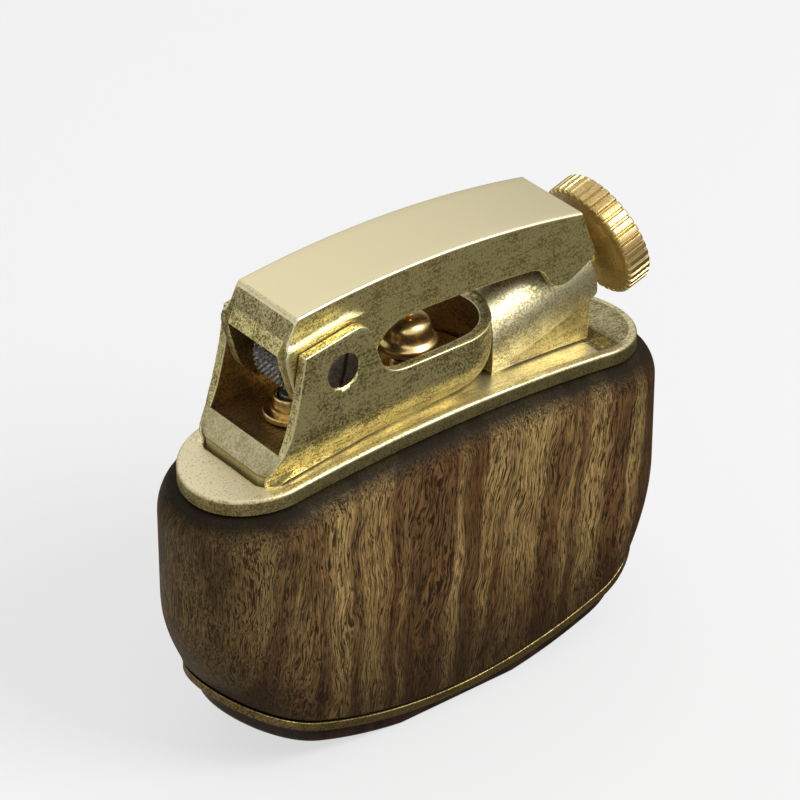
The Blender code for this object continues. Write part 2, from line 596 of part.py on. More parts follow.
def make_barrel():
    """Tilted tube on a web, both cut off square to the frame and down to the deck."""
    barrel = turned("barrel", rod(BARREL_RADIUS, BARREL_INNER, BARREL_END), along_barrel())
    foot = DECK_TOP - 4.0 * MM
    web_rear = POCKET_REAR - GAP
    web = [(BARREL_START - MM, axis_height(BARREL_START)), (BARREL_START - MM, foot),
           (web_rear, foot), (web_rear, DECK_TOP + 3.0 * MM), (18.2 * MM, axis_height(17.6 * MM))]
    boolean(barrel, prism("web", web, -2.4 * MM, 2.4 * MM, cutter=True), "UNION")
    reach = BODY_LENGTH / 2
    keep = deck_line(POCKET_DEPTH - GAP, BARREL_START, reach) + [(reach, BEYOND), (BARREL_START, BEYOND)]
    boolean(barrel, prism("barrel_keep", keep, BELOW, BEYOND, cutter=True), "INTERSECT")
    end_wall = BARREL_END - 1.0 * MM
    boolean(barrel, turned("bore", rod(BARREL_BORE, BELOW, end_wall), along_barrel(), cutter=True))
    shank_way = rod(SHANK_RADIUS + GAP, end_wall - MM, BARREL_END + MM)
    boolean(barrel, turned("end_hole", shank_way, along_barrel(), cutter=True))
    slot = [(12.2 * MM, DECK_TOP + 5.5 * MM), (16.4 * MM, DECK_TOP + 6.8 * MM),
            (16.4 * MM, BEYOND), (12.2 * MM, BEYOND)]
    boolean(barrel, prism("latch_slot", slot, -0.95 * MM, 0.95 * MM, cutter=True))
    finish(barrel, BRIGHT_BRASS, 0.4)


def make_push_rod():
    """Rod and piston, latch, plug, return spring and the knurled knob."""
    piston = -8.45 * MM
    piston_low = piston - 0.5 * MM
    profile = [(0, -3.2 * MM), (0.9 * MM, -3.2 * MM), (0.9 * MM, piston), (2.4 * MM, piston),
               (2.4 * MM, piston_low), (0, piston_low)]
    finish(turned("push_rod", profile, along_barrel(), steps=20), SPRING_STEEL, 0.3)

    # The latch is a collar on the rod with a nose that stands up inside the lid's rear.
    collar = turned("latch", ring(0.9 * MM + GAP, 2.3 * MM, -8.2 * MM, -6.4 * MM), along_barrel(),
                    closed=True, steps=24)
    nose = [(14.35 * MM, axis_height(14.35 * MM) + 1.7 * MM), (15.6 * MM, axis_height(15.6 * MM) + 1.7 * MM),
            (15.75 * MM, DECK_TOP + 12.3 * MM), (14.6 * MM, DECK_TOP + 12.3 * MM)]
    boolean(collar, prism("nose", nose, -0.65 * MM, 0.65 * MM, cutter=True), "UNION")
    finish(collar, SPRING_STEEL, 0.3)

    plug = turned("spring_plug", rod(BARREL_BORE - GAP, -13.4 * MM, -12.7 * MM), along_barrel(), steps=24)
    finish(plug, BRIGHT_BRASS, 0.3)

    wire_radius = 0.17 * MM
    low = -12.7 * MM + wire_radius + GAP / 2
    high = piston_low - wire_radius - GAP / 2
    finish(coil("return_spring", 1.9 * MM, low, high, 4, wire_radius, along_barrel()), SPRING_STEEL, 0.3)

    # Knob: rim, dished outer face, and a cone running down to the shank that enters the barrel.
    rim = KNOB_RADIUS
    profile = [(0, KNOB_THICKNESS - 0.3 * MM), (rim - 1.0 * MM, KNOB_THICKNESS),
               (rim - 0.3 * MM, KNOB_THICKNESS), (rim, KNOB_THICKNESS - 0.3 * MM), (rim, 0.3 * MM),
               (rim - 0.3 * MM, 0), (rim - 0.7 * MM, 0), (SHANK_RADIUS, -0.8 * MM),
               (SHANK_RADIUS, -5.6 * MM), (1.2 * MM, -5.6 * MM), (1.2 * MM, -2.8 * MM), (0, -2.8 * MM)]
    knob = turned("knob", profile, along_barrel(), steps=40)
    finish(knob, GOLD_BRASS, 0.25)


def hang_on_pivot(name, pieces):
    """An empty on the hinge's axis, which carries the pieces that turn about it."""
    pivot = bpy.data.objects.new(name, None)
    pivot.matrix_world = upright(PIVOT_X, PIVOT_Z)
    PARTS.objects.link(pivot)
    for piece in pieces:
        child = bpy.data.objects[piece]
        child.parent = pivot
        child.matrix_parent_inverse = upright(PIVOT_X, PIVOT_Z).inverted()


make_wood_shell()
make_base()
make_tank()
make_bottom_screws()
make_deck()
make_frame()
make_tubes()
make_pivot()
make_lid()
make_snuffer()
make_barrel()
make_push_rod()
hang_on_pivot("lid_pivot", ("lid", "snuffer_cap", "snuffer_stem", "pawl"))
hang_on_pivot("wheel_pivot", ("striker_wheel", "ratchet_disc"))
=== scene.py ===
"""The looks of a claw-lid petrol lighter: striped wood body, antiqued brass works, rear push knob.

Metres, +Z up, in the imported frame. Sections follow the object as it is put together. Every new piece
is a surface worked out as whole arrays of points, and some are finished with a bevel or a cut.
"""
import math

import bmesh
import bpy
import numpy as np
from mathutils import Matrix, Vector


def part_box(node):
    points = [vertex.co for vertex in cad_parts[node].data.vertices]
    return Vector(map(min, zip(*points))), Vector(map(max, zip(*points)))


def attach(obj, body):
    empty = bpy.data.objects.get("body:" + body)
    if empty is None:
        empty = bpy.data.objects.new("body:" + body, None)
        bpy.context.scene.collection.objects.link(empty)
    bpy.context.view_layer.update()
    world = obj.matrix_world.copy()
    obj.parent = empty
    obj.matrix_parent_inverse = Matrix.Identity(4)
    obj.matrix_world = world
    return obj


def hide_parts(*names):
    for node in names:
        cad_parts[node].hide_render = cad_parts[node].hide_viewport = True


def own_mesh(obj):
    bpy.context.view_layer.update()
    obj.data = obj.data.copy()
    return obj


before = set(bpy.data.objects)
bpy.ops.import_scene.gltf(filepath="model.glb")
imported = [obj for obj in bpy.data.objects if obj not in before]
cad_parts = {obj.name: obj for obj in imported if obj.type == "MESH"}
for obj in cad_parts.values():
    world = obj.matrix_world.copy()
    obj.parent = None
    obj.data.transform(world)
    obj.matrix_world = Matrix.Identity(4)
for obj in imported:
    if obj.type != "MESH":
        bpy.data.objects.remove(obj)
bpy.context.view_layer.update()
MM = 0.001

# ---- Wood body ----
# One block of striped hardwood, bored through for the tank, with round ends and a curved bottom.
# The stripes stand upright, and the grain between them is interlocked, so its flecks lean both ways.


def add(tree, kind, inputs=None, **settings):
    """A shader node; inputs are plain values, or other nodes' sockets to join to."""
    node = tree.nodes.new(kind)
    for name, value in settings.items():
        setattr(node, name, value)
    for key, value in (inputs or {}).items():
        if isinstance(value, bpy.types.NodeSocket):
            tree.links.new(value, node.inputs[key])
        else:
            node.inputs[key].default_value = value
    return node


def ramp(tree, socket, stops, smooth=False):
    """A colour ramp on a socket; stops are (place, grey or colour)."""
    node = add(tree, "ShaderNodeValToRGB", {"Fac": socket})
    if smooth:
        node.color_ramp.interpolation = "EASE"
    while len(node.color_ramp.elements) < len(stops):
        node.color_ramp.elements.new(0.5)
    for element, (place, colour) in zip(node.color_ramp.elements, stops):
        element.position = place
        element.color = (colour,) * 3 + (1,) if isinstance(colour, (int, float)) else (*colour, 1)
    return node.outputs["Color"]


def noise(tree, coords, scale, detail=2.0, rough=0.5, stretch=(1, 1, 1), turn=(0, 0, 0), twist=0.0):
    """Noise on the piece's own coordinates, stretched and turned first; scale is per metre."""
    place = add(tree, "ShaderNodeMapping", {"Vector": coords, "Scale": stretch, "Rotation": turn})
    node = add(tree, "ShaderNodeTexNoise", {"Vector": place.outputs[0], "Scale": scale, "Detail": detail,
                                            "Roughness": rough, "Distortion": twist})
    return node.outputs["Fac"]


def mix(tree, factor, first, second, blend="MIX"):
    """first where factor is 0 and second where it is 1."""
    node = add(tree, "ShaderNodeMix", data_type="RGBA", blend_type=blend)
    for index, value in ((0, factor), (6, first), (7, second)):
        if isinstance(value, bpy.types.NodeSocket):
            tree.links.new(value, node.inputs[index])
        else:
            node.inputs[index].default_value = value if index == 0 else (*value, 1)
    return node.outputs[2]


def maths(tree, operation, first, second=0.0, clamp=False):
    """One sum on two values or sockets; clamp keeps the answer between 0 and 1."""
    node = add(tree, "ShaderNodeMath", {0: first, 1: second}, operation=operation, use_clamp=clamp)
    return node.outputs[0]


def scaled(tree, socket, by, plus=0.0, clamp=False):
    """The socket's value times by, plus a constant."""
    return add(tree, "ShaderNodeMath", {0: socket, 1: by, 2: plus}, operation="MULTIPLY_ADD",
               use_clamp=clamp).outputs[0]


def split(tree, vector):
    """The X, Y and Z sockets of a vector."""
    return add(tree, "ShaderNodeSeparateXYZ", {0: vector}).outputs


def new_material(name):
    """A material with its node tree, its shader and a source of coordinates."""
    material = bpy.data.materials.new(name)
    material.use_nodes = True
    tree = material.node_tree
    shader = tree.nodes["Principled BSDF"]
    coords = add(tree, "ShaderNodeTexCoord")
    return material, tree, shader, coords


def bump(tree, shader, height, depth, strength=1.0):
    """Relief of this depth on the shader's surface, where height is a socket."""
    node = add(tree, "ShaderNodeBump", {"Height": height, "Strength": strength, "Distance": depth})
    tree.links.new(node.outputs[0], shader.inputs["Normal"])


def striped_wood():
    """Dark and tan upright stripes, fine flecks leaning one way or the other in turn, and lacquer."""
    material, tree, shader, coords = new_material("striped_hardwood")
    place = coords.outputs["Object"]
    stripe_pitch = 4.7 * MM
    reach = 30 * MM                   # a little over half the wood's length, and most of its height
    sway = noise(tree, place, 90, 2, 0.5, (1, 1, 0.35))
    swing = scaled(tree, sway, 6.5 * MM, -3.25 * MM)
    x, y, z = split(tree, place)
    lean_x = maths(tree, "ADD", x, scaled(tree, z, -0.08))
    curl = noise(tree, place, 210, 2, 0.55, (1, 1, 0.6))
    swing = maths(tree, "ADD", swing, scaled(tree, curl, 2.4 * MM, -1.2 * MM))
    moved = maths(tree, "ADD", lean_x, swing)
    swayed = add(tree, "ShaderNodeCombineXYZ", {0: moved, 1: y, 2: z}).outputs[0]
    wave = maths(tree, "SINE", scaled(tree, moved, 2 * math.pi / stripe_pitch))
    uneven = noise(tree, swayed, 330, 1.5, 0.45, (1, 0.45, 0.03))
    stripe = maths(tree, "ADD", scaled(tree, wave, 0.085), uneven)
    band = ramp(tree, stripe, ((0.40, 0.0), (0.48, 0.25), (0.53, 0.8), (0.60, 1.0)), True)
    lean = math.radians(17)
    left = noise(tree, swayed, 3400, 2.5, 0.6, (1, 1, 0.085), (0, lean, 0), 2.6)
    right = noise(tree, swayed, 3400, 2.5, 0.6, (1, 1, 0.085), (0, -lean * 1.4, 0), 2.6)
    fleck = mix(tree, ramp(tree, stripe, ((0.46, 0.0), (0.55, 1.0))), left, right)
    fibre = noise(tree, swayed, 4200, 3, 0.7, (1, 1, 0.06), (0, 0.08, 0), 0.6)
    pores = ramp(tree, fleck, ((0.43, 0.0), (0.53, 1.0)))
    threads = ramp(tree, fibre, ((0.38, 0.0), (0.60, 1.0)))
    ground = mix(tree, band, (0.160, 0.088, 0.034), (0.43, 0.290, 0.108))
    warm = noise(tree, place, 150, 2, 0.5, (1, 1, 0.4))
    ground = mix(tree, ramp(tree, warm, ((0.42, 0.0), (0.7, 0.55))), ground, (0.150, 0.062, 0.018))
    dark = mix(tree, band, (0.020, 0.009, 0.004), (0.050, 0.027, 0.010))
    colour = mix(tree, pores, dark, ground)
    colour = mix(tree, scaled(tree, threads, -0.6, 0.6), colour, (0.024, 0.012, 0.005))
    # Painted shade: the wood is darker towards its lower part and both ends, and darkest on the shoulder
    # in the crease under the brass plate.
    low = ramp(tree, scaled(tree, z, 1 / reach), ((0.1, 0.80), (0.66, 0.0)), True)
    colour = mix(tree, low, colour, (0.016, 0.008, 0.004))
    from_middle = maths(tree, "ABSOLUTE", scaled(tree, x, 1 / reach))
    ends = ramp(tree, from_middle, ((0.60, 0.0), (0.88, 0.55)), True)
    colour = mix(tree, ends, colour, (0.024, 0.011, 0.003))
    # Painted shade: faces that look up, on the shoulder in the crease under the plate, are painted near
    # black and given little sheen.
    painted_top_shading = ramp(tree, split(tree, coords.outputs["Normal"])[2], ((0.12, 0.0), (0.75, 0.92)))
    colour = mix(tree, painted_top_shading, colour, (0.012, 0.010, 0.007))
    tree.links.new(ramp(tree, painted_top_shading, ((0.0, 0.14), (0.7, 0.03))), shader.inputs["Specular IOR Level"])
    tree.links.new(ramp(tree, painted_top_shading, ((0.0, 0.08), (0.7, 0.0))), shader.inputs["Coat Weight"])
    tree.links.new(colour, shader.inputs["Base Color"])
    tree.links.new(ramp(tree, fleck, ((0.3, 0.5), (0.7, 0.36))), shader.inputs["Roughness"])
    shader.inputs["Coat Roughness"].default_value = 0.3
    bump(tree, shader, fleck, 0.03 * MM, 0.6)
    return material


def unit(value):
    """The value, kept between 0 and 1."""
    return np.clip(value, 0, 1)


def stadium(around_end, along_side):
    """Where each column stands on a long outline with round ends: its place on the middle line, from
    -1 to 1, and the angle that it looks outwards in."""
    end = np.linspace(-math.pi / 2, math.pi / 2, around_end)
    run = np.linspace(1, -1, along_side + 2)[1:-1]
    spine = np.concatenate((np.ones(around_end), run, -np.ones(around_end), -run))
    angle = np.concatenate((end, np.full(along_side, math.pi / 2), end + math.pi,
                            np.full(along_side, -math.pi / 2)))
    return spine, angle


def outline(columns, half_length, half_width):
    """Points of a stadium of these half sizes; the sizes may be arrays with one row per ring."""
    spine, angle = columns
    x = spine * (half_length - half_width) + half_width * np.cos(angle)
    return x, half_width * np.sin(angle)


def drop(x, radius):
    """How far a circular arch of this radius has fallen at x from its crown."""
    return radius - np.sqrt(radius ** 2 - x ** 2)


def surface(name, grid, rows_wrap=False, columns_wrap=True, slots=0, angle=32.0):
    """A closed mesh from a grid of points, whose rows and columns may wrap round. Each point joins its
    neighbours, and meeting points become one. slots are the faces' material slots, as a number or an
    array that fits the faces' rows and columns."""
    rows, columns = grid.shape[:2]
    ids = np.arange(rows * columns).reshape(rows, columns)
    if columns_wrap:
        ids = np.hstack((ids, ids[:, :1]))
    if rows_wrap:
        ids = np.vstack((ids, ids[:1]))
    square = np.stack((ids[:-1, :-1], ids[:-1, 1:], ids[1:, 1:], ids[1:, :-1]), -1)
    slots = np.broadcast_to(slots, square.shape[:2]).reshape(-1)
    mesh = bpy.data.meshes.new(name)
    mesh.from_pydata(grid.reshape(-1, 3).tolist(), [], square.reshape(-1, 4).tolist())
    mesh.polygons.foreach_set("material_index", slots.astype(np.int32))
    shape = bmesh.new()
    shape.from_mesh(mesh)
    bmesh.ops.remove_doubles(shape, verts=shape.verts, dist=2e-6)
    bmesh.ops.dissolve_degenerate(shape, edges=shape.edges, dist=1e-7)
    bmesh.ops.recalc_face_normals(shape, faces=shape.faces)
    shape.to_mesh(mesh)
    shape.free()
    mesh.shade_smooth()
    mesh.set_sharp_from_angle(angle=math.radians(angle))
    piece = bpy.data.objects.new(name, mesh)
    bpy.context.scene.collection.objects.link(piece)
    return piece


def stack(*axes):
    """One grid of points from its X, Y and Z, which are brought to the same shape."""
    return np.stack(np.broadcast_arrays(*axes), -1)


def round_edges(piece, width, steps, edge_slot=None):
    """Rounds every sharp edge; the rounding takes the material in edge_slot if one is given."""
    bevel = piece.modifiers.new("rounded", "BEVEL")
    bevel.width = width
    bevel.segments = steps
    bevel.limit_method = "ANGLE"
    bevel.angle_limit = math.radians(30)
    bevel.harden_normals = True
    if edge_slot is not None:
        bevel.material = edge_slot
    return piece


def dress(piece, body, nodes, slot, *materials):
    """Gives the piece its materials and its body, and hides the nodes it stands for; slot is not used."""
    for material in materials:
        piece.data.materials.append(material)
    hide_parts(*nodes)
    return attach(piece, body)


deck_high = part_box("deck_plate")[1]
wood_low, wood_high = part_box("wood_shell")
DECK = deck_high.z                    # top of the brass plate at its middle, where heights start
WOOD_LENGTH = wood_high.x             # half of it
WOOD_WIDTH = wood_high.y
WOOD_TOP = wood_high.z
WOOD_LOW = wood_low.z
DECK_ARC = 180 * MM
BOTTOM_ARC = 50 * MM
wood = striped_wood()


def wood_body():
    """Rings from the top's inner edge, over the shoulder, down the side, and back up the bore. A side
    ring's height runs from the top arch to the bottom arch, and its ends draw in near the bottom."""
    columns = stadium(40, 70)
    turn = np.linspace(0, math.pi / 2, 12)[:, None]
    fall = np.linspace(0, 1, 30)[1:, None]
    shoulder_in = 2.1 * MM
    shoulder_drop = 3.0 * MM
    lower_edge = 0.5 * MM
    inset = np.concatenate(([[3.0 * MM]], shoulder_in * (1 - np.sin(turn)), 0 * fall))
    sink = np.concatenate(([[0]], shoulder_drop * (1 - np.cos(turn)), 0 * fall + shoulder_drop))
    share = np.concatenate(([[0]], 0 * turn, fall))
    late = unit((share - 0.55) / 0.45)
    length = WOOD_LENGTH - inset - 2.0 * MM * late ** 2.4
    width = WOOD_WIDTH - 0.95 * inset - 0.45 * MM * late ** 2.4
    x, y = outline(columns, length, width)
    top = WOOD_TOP - drop(x, DECK_ARC)
    z = (top - sink) * (1 - share) + (WOOD_LOW + drop(x, BOTTOM_ARC) + lower_edge) * share
    side = stack(x, y, z)
    under_turn = np.linspace(0, math.pi / 2, 5)[1:, None]
    last_length, last_width = length[-1], width[-1]
    under_in = np.concatenate((lower_edge * (1 - np.cos(under_turn)), [[4.0 * MM]]))
    x, y = outline(columns, last_length - under_in, last_width - under_in)
    rise = np.concatenate((lower_edge * (1 - np.sin(under_turn)), [[0]]))
    under = stack(x, y, WOOD_LOW + drop(x, BOTTOM_ARC) + rise)
    return surface("wood_body", np.concatenate((side, under)), True)


dress(wood_body(), "body", ["wood_shell"], "wood", wood)

# ---- Base ----
# A thin brass plate follows the wood's curved underside, and a darker, smaller piece lies under it.
# The filler screw and the flint screw close their holes from below.


def aged_brass(name, light, dark, patches, rough=0.42, satin=None, top_light_to=None):
    """Cast brass, blackened and rubbed back: bright metal with fine dark specks and olive patches. Given a
    satin colour, faces that look up are plain metal of that colour, as painted light from above, a little
    darker to the rear as painted shade; given an end X, that painted light ends there and is pitted."""
    material, tree, shader, coords = new_material(name)
    place = coords.outputs["Object"]
    speck = noise(tree, place, 4600, 3, 0.75)
    cloud = noise(tree, place, 420, 3, 0.6)
    scratch = noise(tree, place, 1500, 3, 0.7, (0.12, 2, 2), (0, 0.3, 0), 0.2)
    worn = maths(tree, "ADD", scaled(tree, speck, 0.72), scaled(tree, cloud, 0.28))
    worn = maths(tree, "ADD", worn, scaled(tree, scratch, 0.25, -0.125))
    edge = 0.5 + 0.09 * (patches - 0.5)
    amount = ramp(tree, worn, ((edge - 0.075, 0.0), (edge + 0.065, 1.0)))
    colour = mix(tree, amount, dark, light)
    gloss = ramp(tree, worn, ((0.4, rough + 0.13), (0.62, rough - 0.06)))
    # Painted light: faces that look up get a plain lighter colour, a little darker towards the rear as
    # painted shade.
    if satin:
        painted_top_shading = ramp(tree, split(tree, coords.outputs["Normal"])[2], ((0.66, 0.0), (0.97, 1.0)))
        x = split(tree, place)[0]
        rear_shade_fade = scaled(tree, x, 28.0, 0.5, True)
        painted_top_colour = mix(tree, rear_shade_fade, tuple(1.06 * c for c in satin), tuple(0.82 * c for c in satin))
        if top_light_to is not None:
            painted_top_shading = maths(tree, "MULTIPLY", painted_top_shading, maths(tree, "LESS_THAN", x, top_light_to))
            painted_top_colour = mix(tree, ramp(tree, speck, ((0.36, 0.75), (0.43, 0.0))), painted_top_colour, (0.30, 0.23, 0.10))
        colour = mix(tree, painted_top_shading, colour, painted_top_colour)
        gloss = mix(tree, painted_top_shading, gloss, (0.5, 0.5, 0.5))
    tree.links.new(colour, shader.inputs["Base Color"])
    tree.links.new(gloss, shader.inputs["Roughness"])
    shader.inputs["Metallic"].default_value = 1.0
    bump(tree, shader, speck, 0.010 * MM, 0.5)
    return material


def polished_brass(name, light, dark, rough):
    """Turned brass: bright, with faint darker clouds of tarnish and small specks."""
    material, tree, shader, coords = new_material(name)
    place = coords.outputs["Object"]
    speck = noise(tree, place, 2200, 4, 0.75)
    cloud = noise(tree, place, 420, 3, 0.6)
    amount = ramp(tree, maths(tree, "MULTIPLY", maths(tree, "ADD", speck, cloud), 0.5),
                  ((0.38, 0.0), (0.52, 1.0)))
    tree.links.new(mix(tree, amount, dark, light), shader.inputs["Base Color"])
    tree.links.new(ramp(tree, cloud, ((0.3, rough + 0.1), (0.7, rough))), shader.inputs["Roughness"])
    shader.inputs["Metallic"].default_value = 1.0
    bump(tree, shader, speck, 0.006 * MM, 0.4)
    return material


def plate_under(name, half_length, half_width, low, high, foot=0.0):
    """A plate that follows the bottom arch between two heights, closed to its middle line, with a flat
    foot of that half length if one is given."""
    columns = stadium(32, 60)
    ring = np.array([half_width, half_width / 2, 0.0, 0.0, half_width / 2, half_width])[:, None]
    x, y = outline(columns, half_length - ring, half_width - ring)
    over = np.array([1, 1, 1, 0, 0, 0])[:, None]
    bottom = low + np.maximum(drop(x, BOTTOM_ARC) - drop(np.array(foot), BOTTOM_ARC), 0)
    z = np.where(over > 0, high + drop(x, BOTTOM_ARC), bottom)
    return surface(name, stack(x, y, z))


plate_low, plate_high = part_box("base_plate")
inlay_low, inlay_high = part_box("base_inlay")
base_band = plate_under("base_band", plate_high.x, plate_high.y, plate_low.z, plate_low.z + 1.0 * MM)
dress(round_edges(base_band, 0.15 * MM, 2), "body", ["base_plate"], "bright_brass",
      aged_brass("dull_brass", (0.36, 0.27, 0.105), (0.12, 0.082, 0.03), 0.5))


def dark_base_material():
    """Dark brown lacquered wood with the same upright grain, nearly black."""
    material, tree, shader, coords = new_material("dark_base")
    grain = noise(tree, coords.outputs["Object"], 900, 3, 0.6, (1, 1, 0.1))
    colour = ramp(tree, grain, ((0.35, (0.010, 0.005, 0.004)), (0.7, (0.038, 0.014, 0.009))))
    tree.links.new(colour, shader.inputs["Base Color"])
    shader.inputs["Roughness"].default_value = 0.3
    bump(tree, shader, grain, 0.01 * MM, 0.4)
    return material


dark_base = dark_base_material()
base_foot = plate_under("base_foot", inlay_high.x, inlay_high.y, inlay_low.z,
                        plate_low.z - 0.25 * MM, 7.0 * MM)
dress(round_edges(base_foot, 0.5 * MM, 3), "body", ["base_inlay"], "dark_base", dark_base)


def cut(piece, *cutters):
    """Takes the cutters' shapes out of the piece, after its own modifiers, then removes them."""
    for cutter in cutters:
        step = piece.modifiers.new("cut", "BOOLEAN")
        step.operation = "DIFFERENCE"
        step.solver = "EXACT"
        step.object = cutter
    depsgraph = bpy.context.evaluated_depsgraph_get()
    mesh = bpy.data.meshes.new_from_object(piece.evaluated_get(depsgraph))
    piece.modifiers.clear()
    piece.data = mesh
    mesh.shade_smooth()
    mesh.set_sharp_from_angle(angle=math.radians(32))
    for cutter in cutters:
        bpy.data.objects.remove(cutter, do_unlink=True)
    return piece


def axes_along(direction):
    """Two directions across a turned piece's axis, and the axis itself."""
    along = np.array(direction, float) / np.linalg.norm(direction)
    first = np.cross(along, (0, 1, 0) if abs(along[1]) < 0.9 else (0, 0, 1))
    first = first / np.linalg.norm(first)
    return first, np.cross(along, first), along


def turned(name, centre, direction, profile, steps=64, flute=None, wrap=False, angle=32.0):
    """A profile of (radius, height) carried round an axis. flute(angle, radius, height) changes the
    radius, and wrap joins the profile's last point to its first, as on a ring."""
    radius, height = np.array(profile, float).T[:, :, None]
    round_axis = np.linspace(0, 2 * math.pi, steps, endpoint=False)[None]
    radius = radius + 0 * round_axis
    if flute:
        radius = flute(round_axis, radius, height)
    spread = radius * np.cos(round_axis), radius * np.sin(round_axis), height + 0 * round_axis
    points = np.array(centre) + sum(s[..., None] * v for s, v in zip(spread, axes_along(direction)))
    return surface(name, points, wrap, angle=angle)


def metres(profile):
    """A profile that is written in millimetres, in metres."""
    return [(radius * MM, height * MM) for radius, height in profile]


def block(name, centre, across, half):
    """A box for cutting with: across holds its three directions, half its half sizes."""
    corners = [(-1, -1), (1, -1), (1, 1), (-1, 1)]
    ring = [[np.array(centre) + across[0] * half[0] * u + across[1] * half[1] * v + across[2] * half[2] * w
             for u, v in corners] for w in (-1, 1)]
    middle = [[np.array(centre) + across[2] * half[2] * w] * 4 for w in (-1, 1)]
    return surface(name, np.array([middle[0], ring[0], ring[1], middle[1]]))


def bottom_screw(name, node, head, thick, shank):
    """A slotted screw that looks down: its rounded head is turned, then slotted across. head and shank
    are radii, and thick is how far the head stands from the shank."""
    low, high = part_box(node)
    centre = ((low.x + high.x) / 2, 0, low.z)
    edge = 0.2 * MM
    profile = [(0, 0), (head - edge, 0), (head - 0.3 * edge, 0.3 * edge), (head, edge), (head, thick),
               (shank, thick), (shank, high.z - low.z), (0, high.z - low.z)]
    screw = turned(name, centre, (0, 0, 1), profile, 48)
    slot = block("slot", centre, np.eye(3), (head + MM, 0.3 * MM, 0.6 * MM))
    return cut(screw, slot)


screw_brass = polished_brass("screw_brass", (0.74, 0.56, 0.26), (0.36, 0.25, 0.09), 0.26)
filler = bottom_screw("filler_plug", "filler_screw", 2.7 * MM, 1.9 * MM, 1.5 * MM)
dress(filler, "filler_plug", ["filler_screw"], "bright_brass", screw_brass)
flint_plug = bottom_screw("flint_plug", "flint_screw", 2.3 * MM, 2.0 * MM, 1.1 * MM)
dress(flint_plug, "flint_plug", ["flint_screw"], "bright_brass", screw_brass)

# ---- Deck plate ----
# The brass plate let into the top of the wood: a raised rim, a milled pocket beside and behind the
# works that ends in a slope at the rear, and a solid, lightly pitted end in front of the frame.
POCKET_FRONT = -21.9 * MM
REAR_SLOPE = 20.0 * MM


def deck_plate():
    """Rings drawn in from the edge: up the band, over the rounded rim, down the pocket's wall, and
    across its floor. The pocket stops short of the front end, and climbs a slope at the rear."""
    columns = stadium(110, 220)
    half_length = deck_high.x
    half_width = deck_high.y
    band = 1.7 * MM
    pocket = 0.85 * MM
    edge = 0.32 * MM
    slope = 0.9 * MM
    turn = np.linspace(0, math.pi / 2, 7)
    under = np.array([half_width, half_width / 2, 0.15 * MM, 0.0])
    side = np.array([0.0, 0.0])
    over = edge * (1 - np.cos(turn))
    rim_end = 0.85 * MM
    inner = rim_end + edge * np.array([0, 0.2, 0.45, 0.7, 0.9, 1.0, 1.2])
    floor = np.linspace(rim_end + 0.6 * MM, half_width, 60)
    inset = np.concatenate((under, side, over, [0.6 * MM], inner, floor))[:, None]
    height = np.concatenate((np.full(3, -band), [-band + 0.12 * MM], [-band + 0.3 * MM, -0.9 * MM],
                             edge * (np.sin(turn) - 1), [0.0],
                             0 * inner, 0 * floor))[:, None]
    wall = unit((inset - rim_end) / edge)
    wall = np.where(height < -0.5 * MM, 0, wall)
    x, y = outline(columns, half_length - inset, half_width - inset)
    corner = unit((abs(y) - 3.9 * MM) / (1.9 * MM))
    front = POCKET_FRONT + 1.9 * MM * corner ** 2.2
    front = front + 1.0 * MM * unit((abs(y) - 5.8 * MM) / (0.7 * MM))
    opening = unit((x - front) / (0.25 * MM))
    rear = unit((REAR_SLOPE + slope - x) / slope)
    sunk = wall * wall * (3 - 2 * wall) * opening * rear
    z = DECK - drop(x, DECK_ARC) + height - pocket * sunk
    floor_from = len(under) + len(side) + len(over) + 4
    slots = np.zeros((len(z) - 1, x.shape[1]), int)
    slots[len(under) + len(side):] = 1
    slots[floor_from:] = 2
    slots[(x[1:] > REAR_SLOPE - slope) & (inset[1:] > rim_end)] = 3
    return surface("deck", stack(x, y, z), slots=slots, angle=50)


# The painted top light: the colour given to the deck's faces that look up, as light from above; it ends just
# in front of the frame.
SATIN_TOP_LIGHT = (0.84, 0.75, 0.50)
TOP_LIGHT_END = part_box("frame")[0].x + 0.3 * MM
# The rim's brass is lighter, a painted highlight, and the plate inside the rim lighter still, a painted
# reflection of the light above.
dress(deck_plate(), "body", ["deck_plate"], "bright_brass",
      aged_brass("band_brass", (0.50, 0.42, 0.19), (0.17, 0.135, 0.05), 0.55),
      aged_brass("rim_highlight_brass", (0.82, 0.73, 0.45), (0.40, 0.33, 0.15), 0.25, 0.42, SATIN_TOP_LIGHT, TOP_LIGHT_END),
      aged_brass("plate_reflection_brass", (1.0, 0.93, 0.66), (0.62, 0.52, 0.28), 0.35, 0.42, SATIN_TOP_LIGHT, TOP_LIGHT_END),
      aged_brass("shelf_brass", (0.60, 0.52, 0.28), (0.20, 0.16, 0.065), 0.6))

# ---- Frame ----
# One brass casting: two cheeks that carry the hinge screw, a low wall round the wick, a raked front
# plate, and a floor. It draws in towards its foot, where it stands in the deck's pocket.


def polyline(points, spacing):
    """Points spread evenly, about spacing apart, along a line through these points."""
    points = np.array(points, float)
    steps = np.concatenate(([0], np.cumsum(np.hypot(*np.diff(points, axis=0).T))))
    count = max(2, int(round(steps[-1] / spacing)) + 1)
    at = np.linspace(0, steps[-1], count)
    return np.stack([np.interp(at, steps, points[:, k]) for k in (0, 1)], 1)


def bend(a, b, c, d, steps):
    """Points along the cubic curve with these four control points, after its first."""
    t = np.linspace(0, 1, steps)[1:, None]
    a, b, c, d = (np.array(p) for p in (a, b, c, d))
    curve = (1 - t) ** 3 * a + 3 * t * (1 - t) ** 2 * b + 3 * t * t * (1 - t) * c + t ** 3 * d
    return [tuple(point) for point in curve]


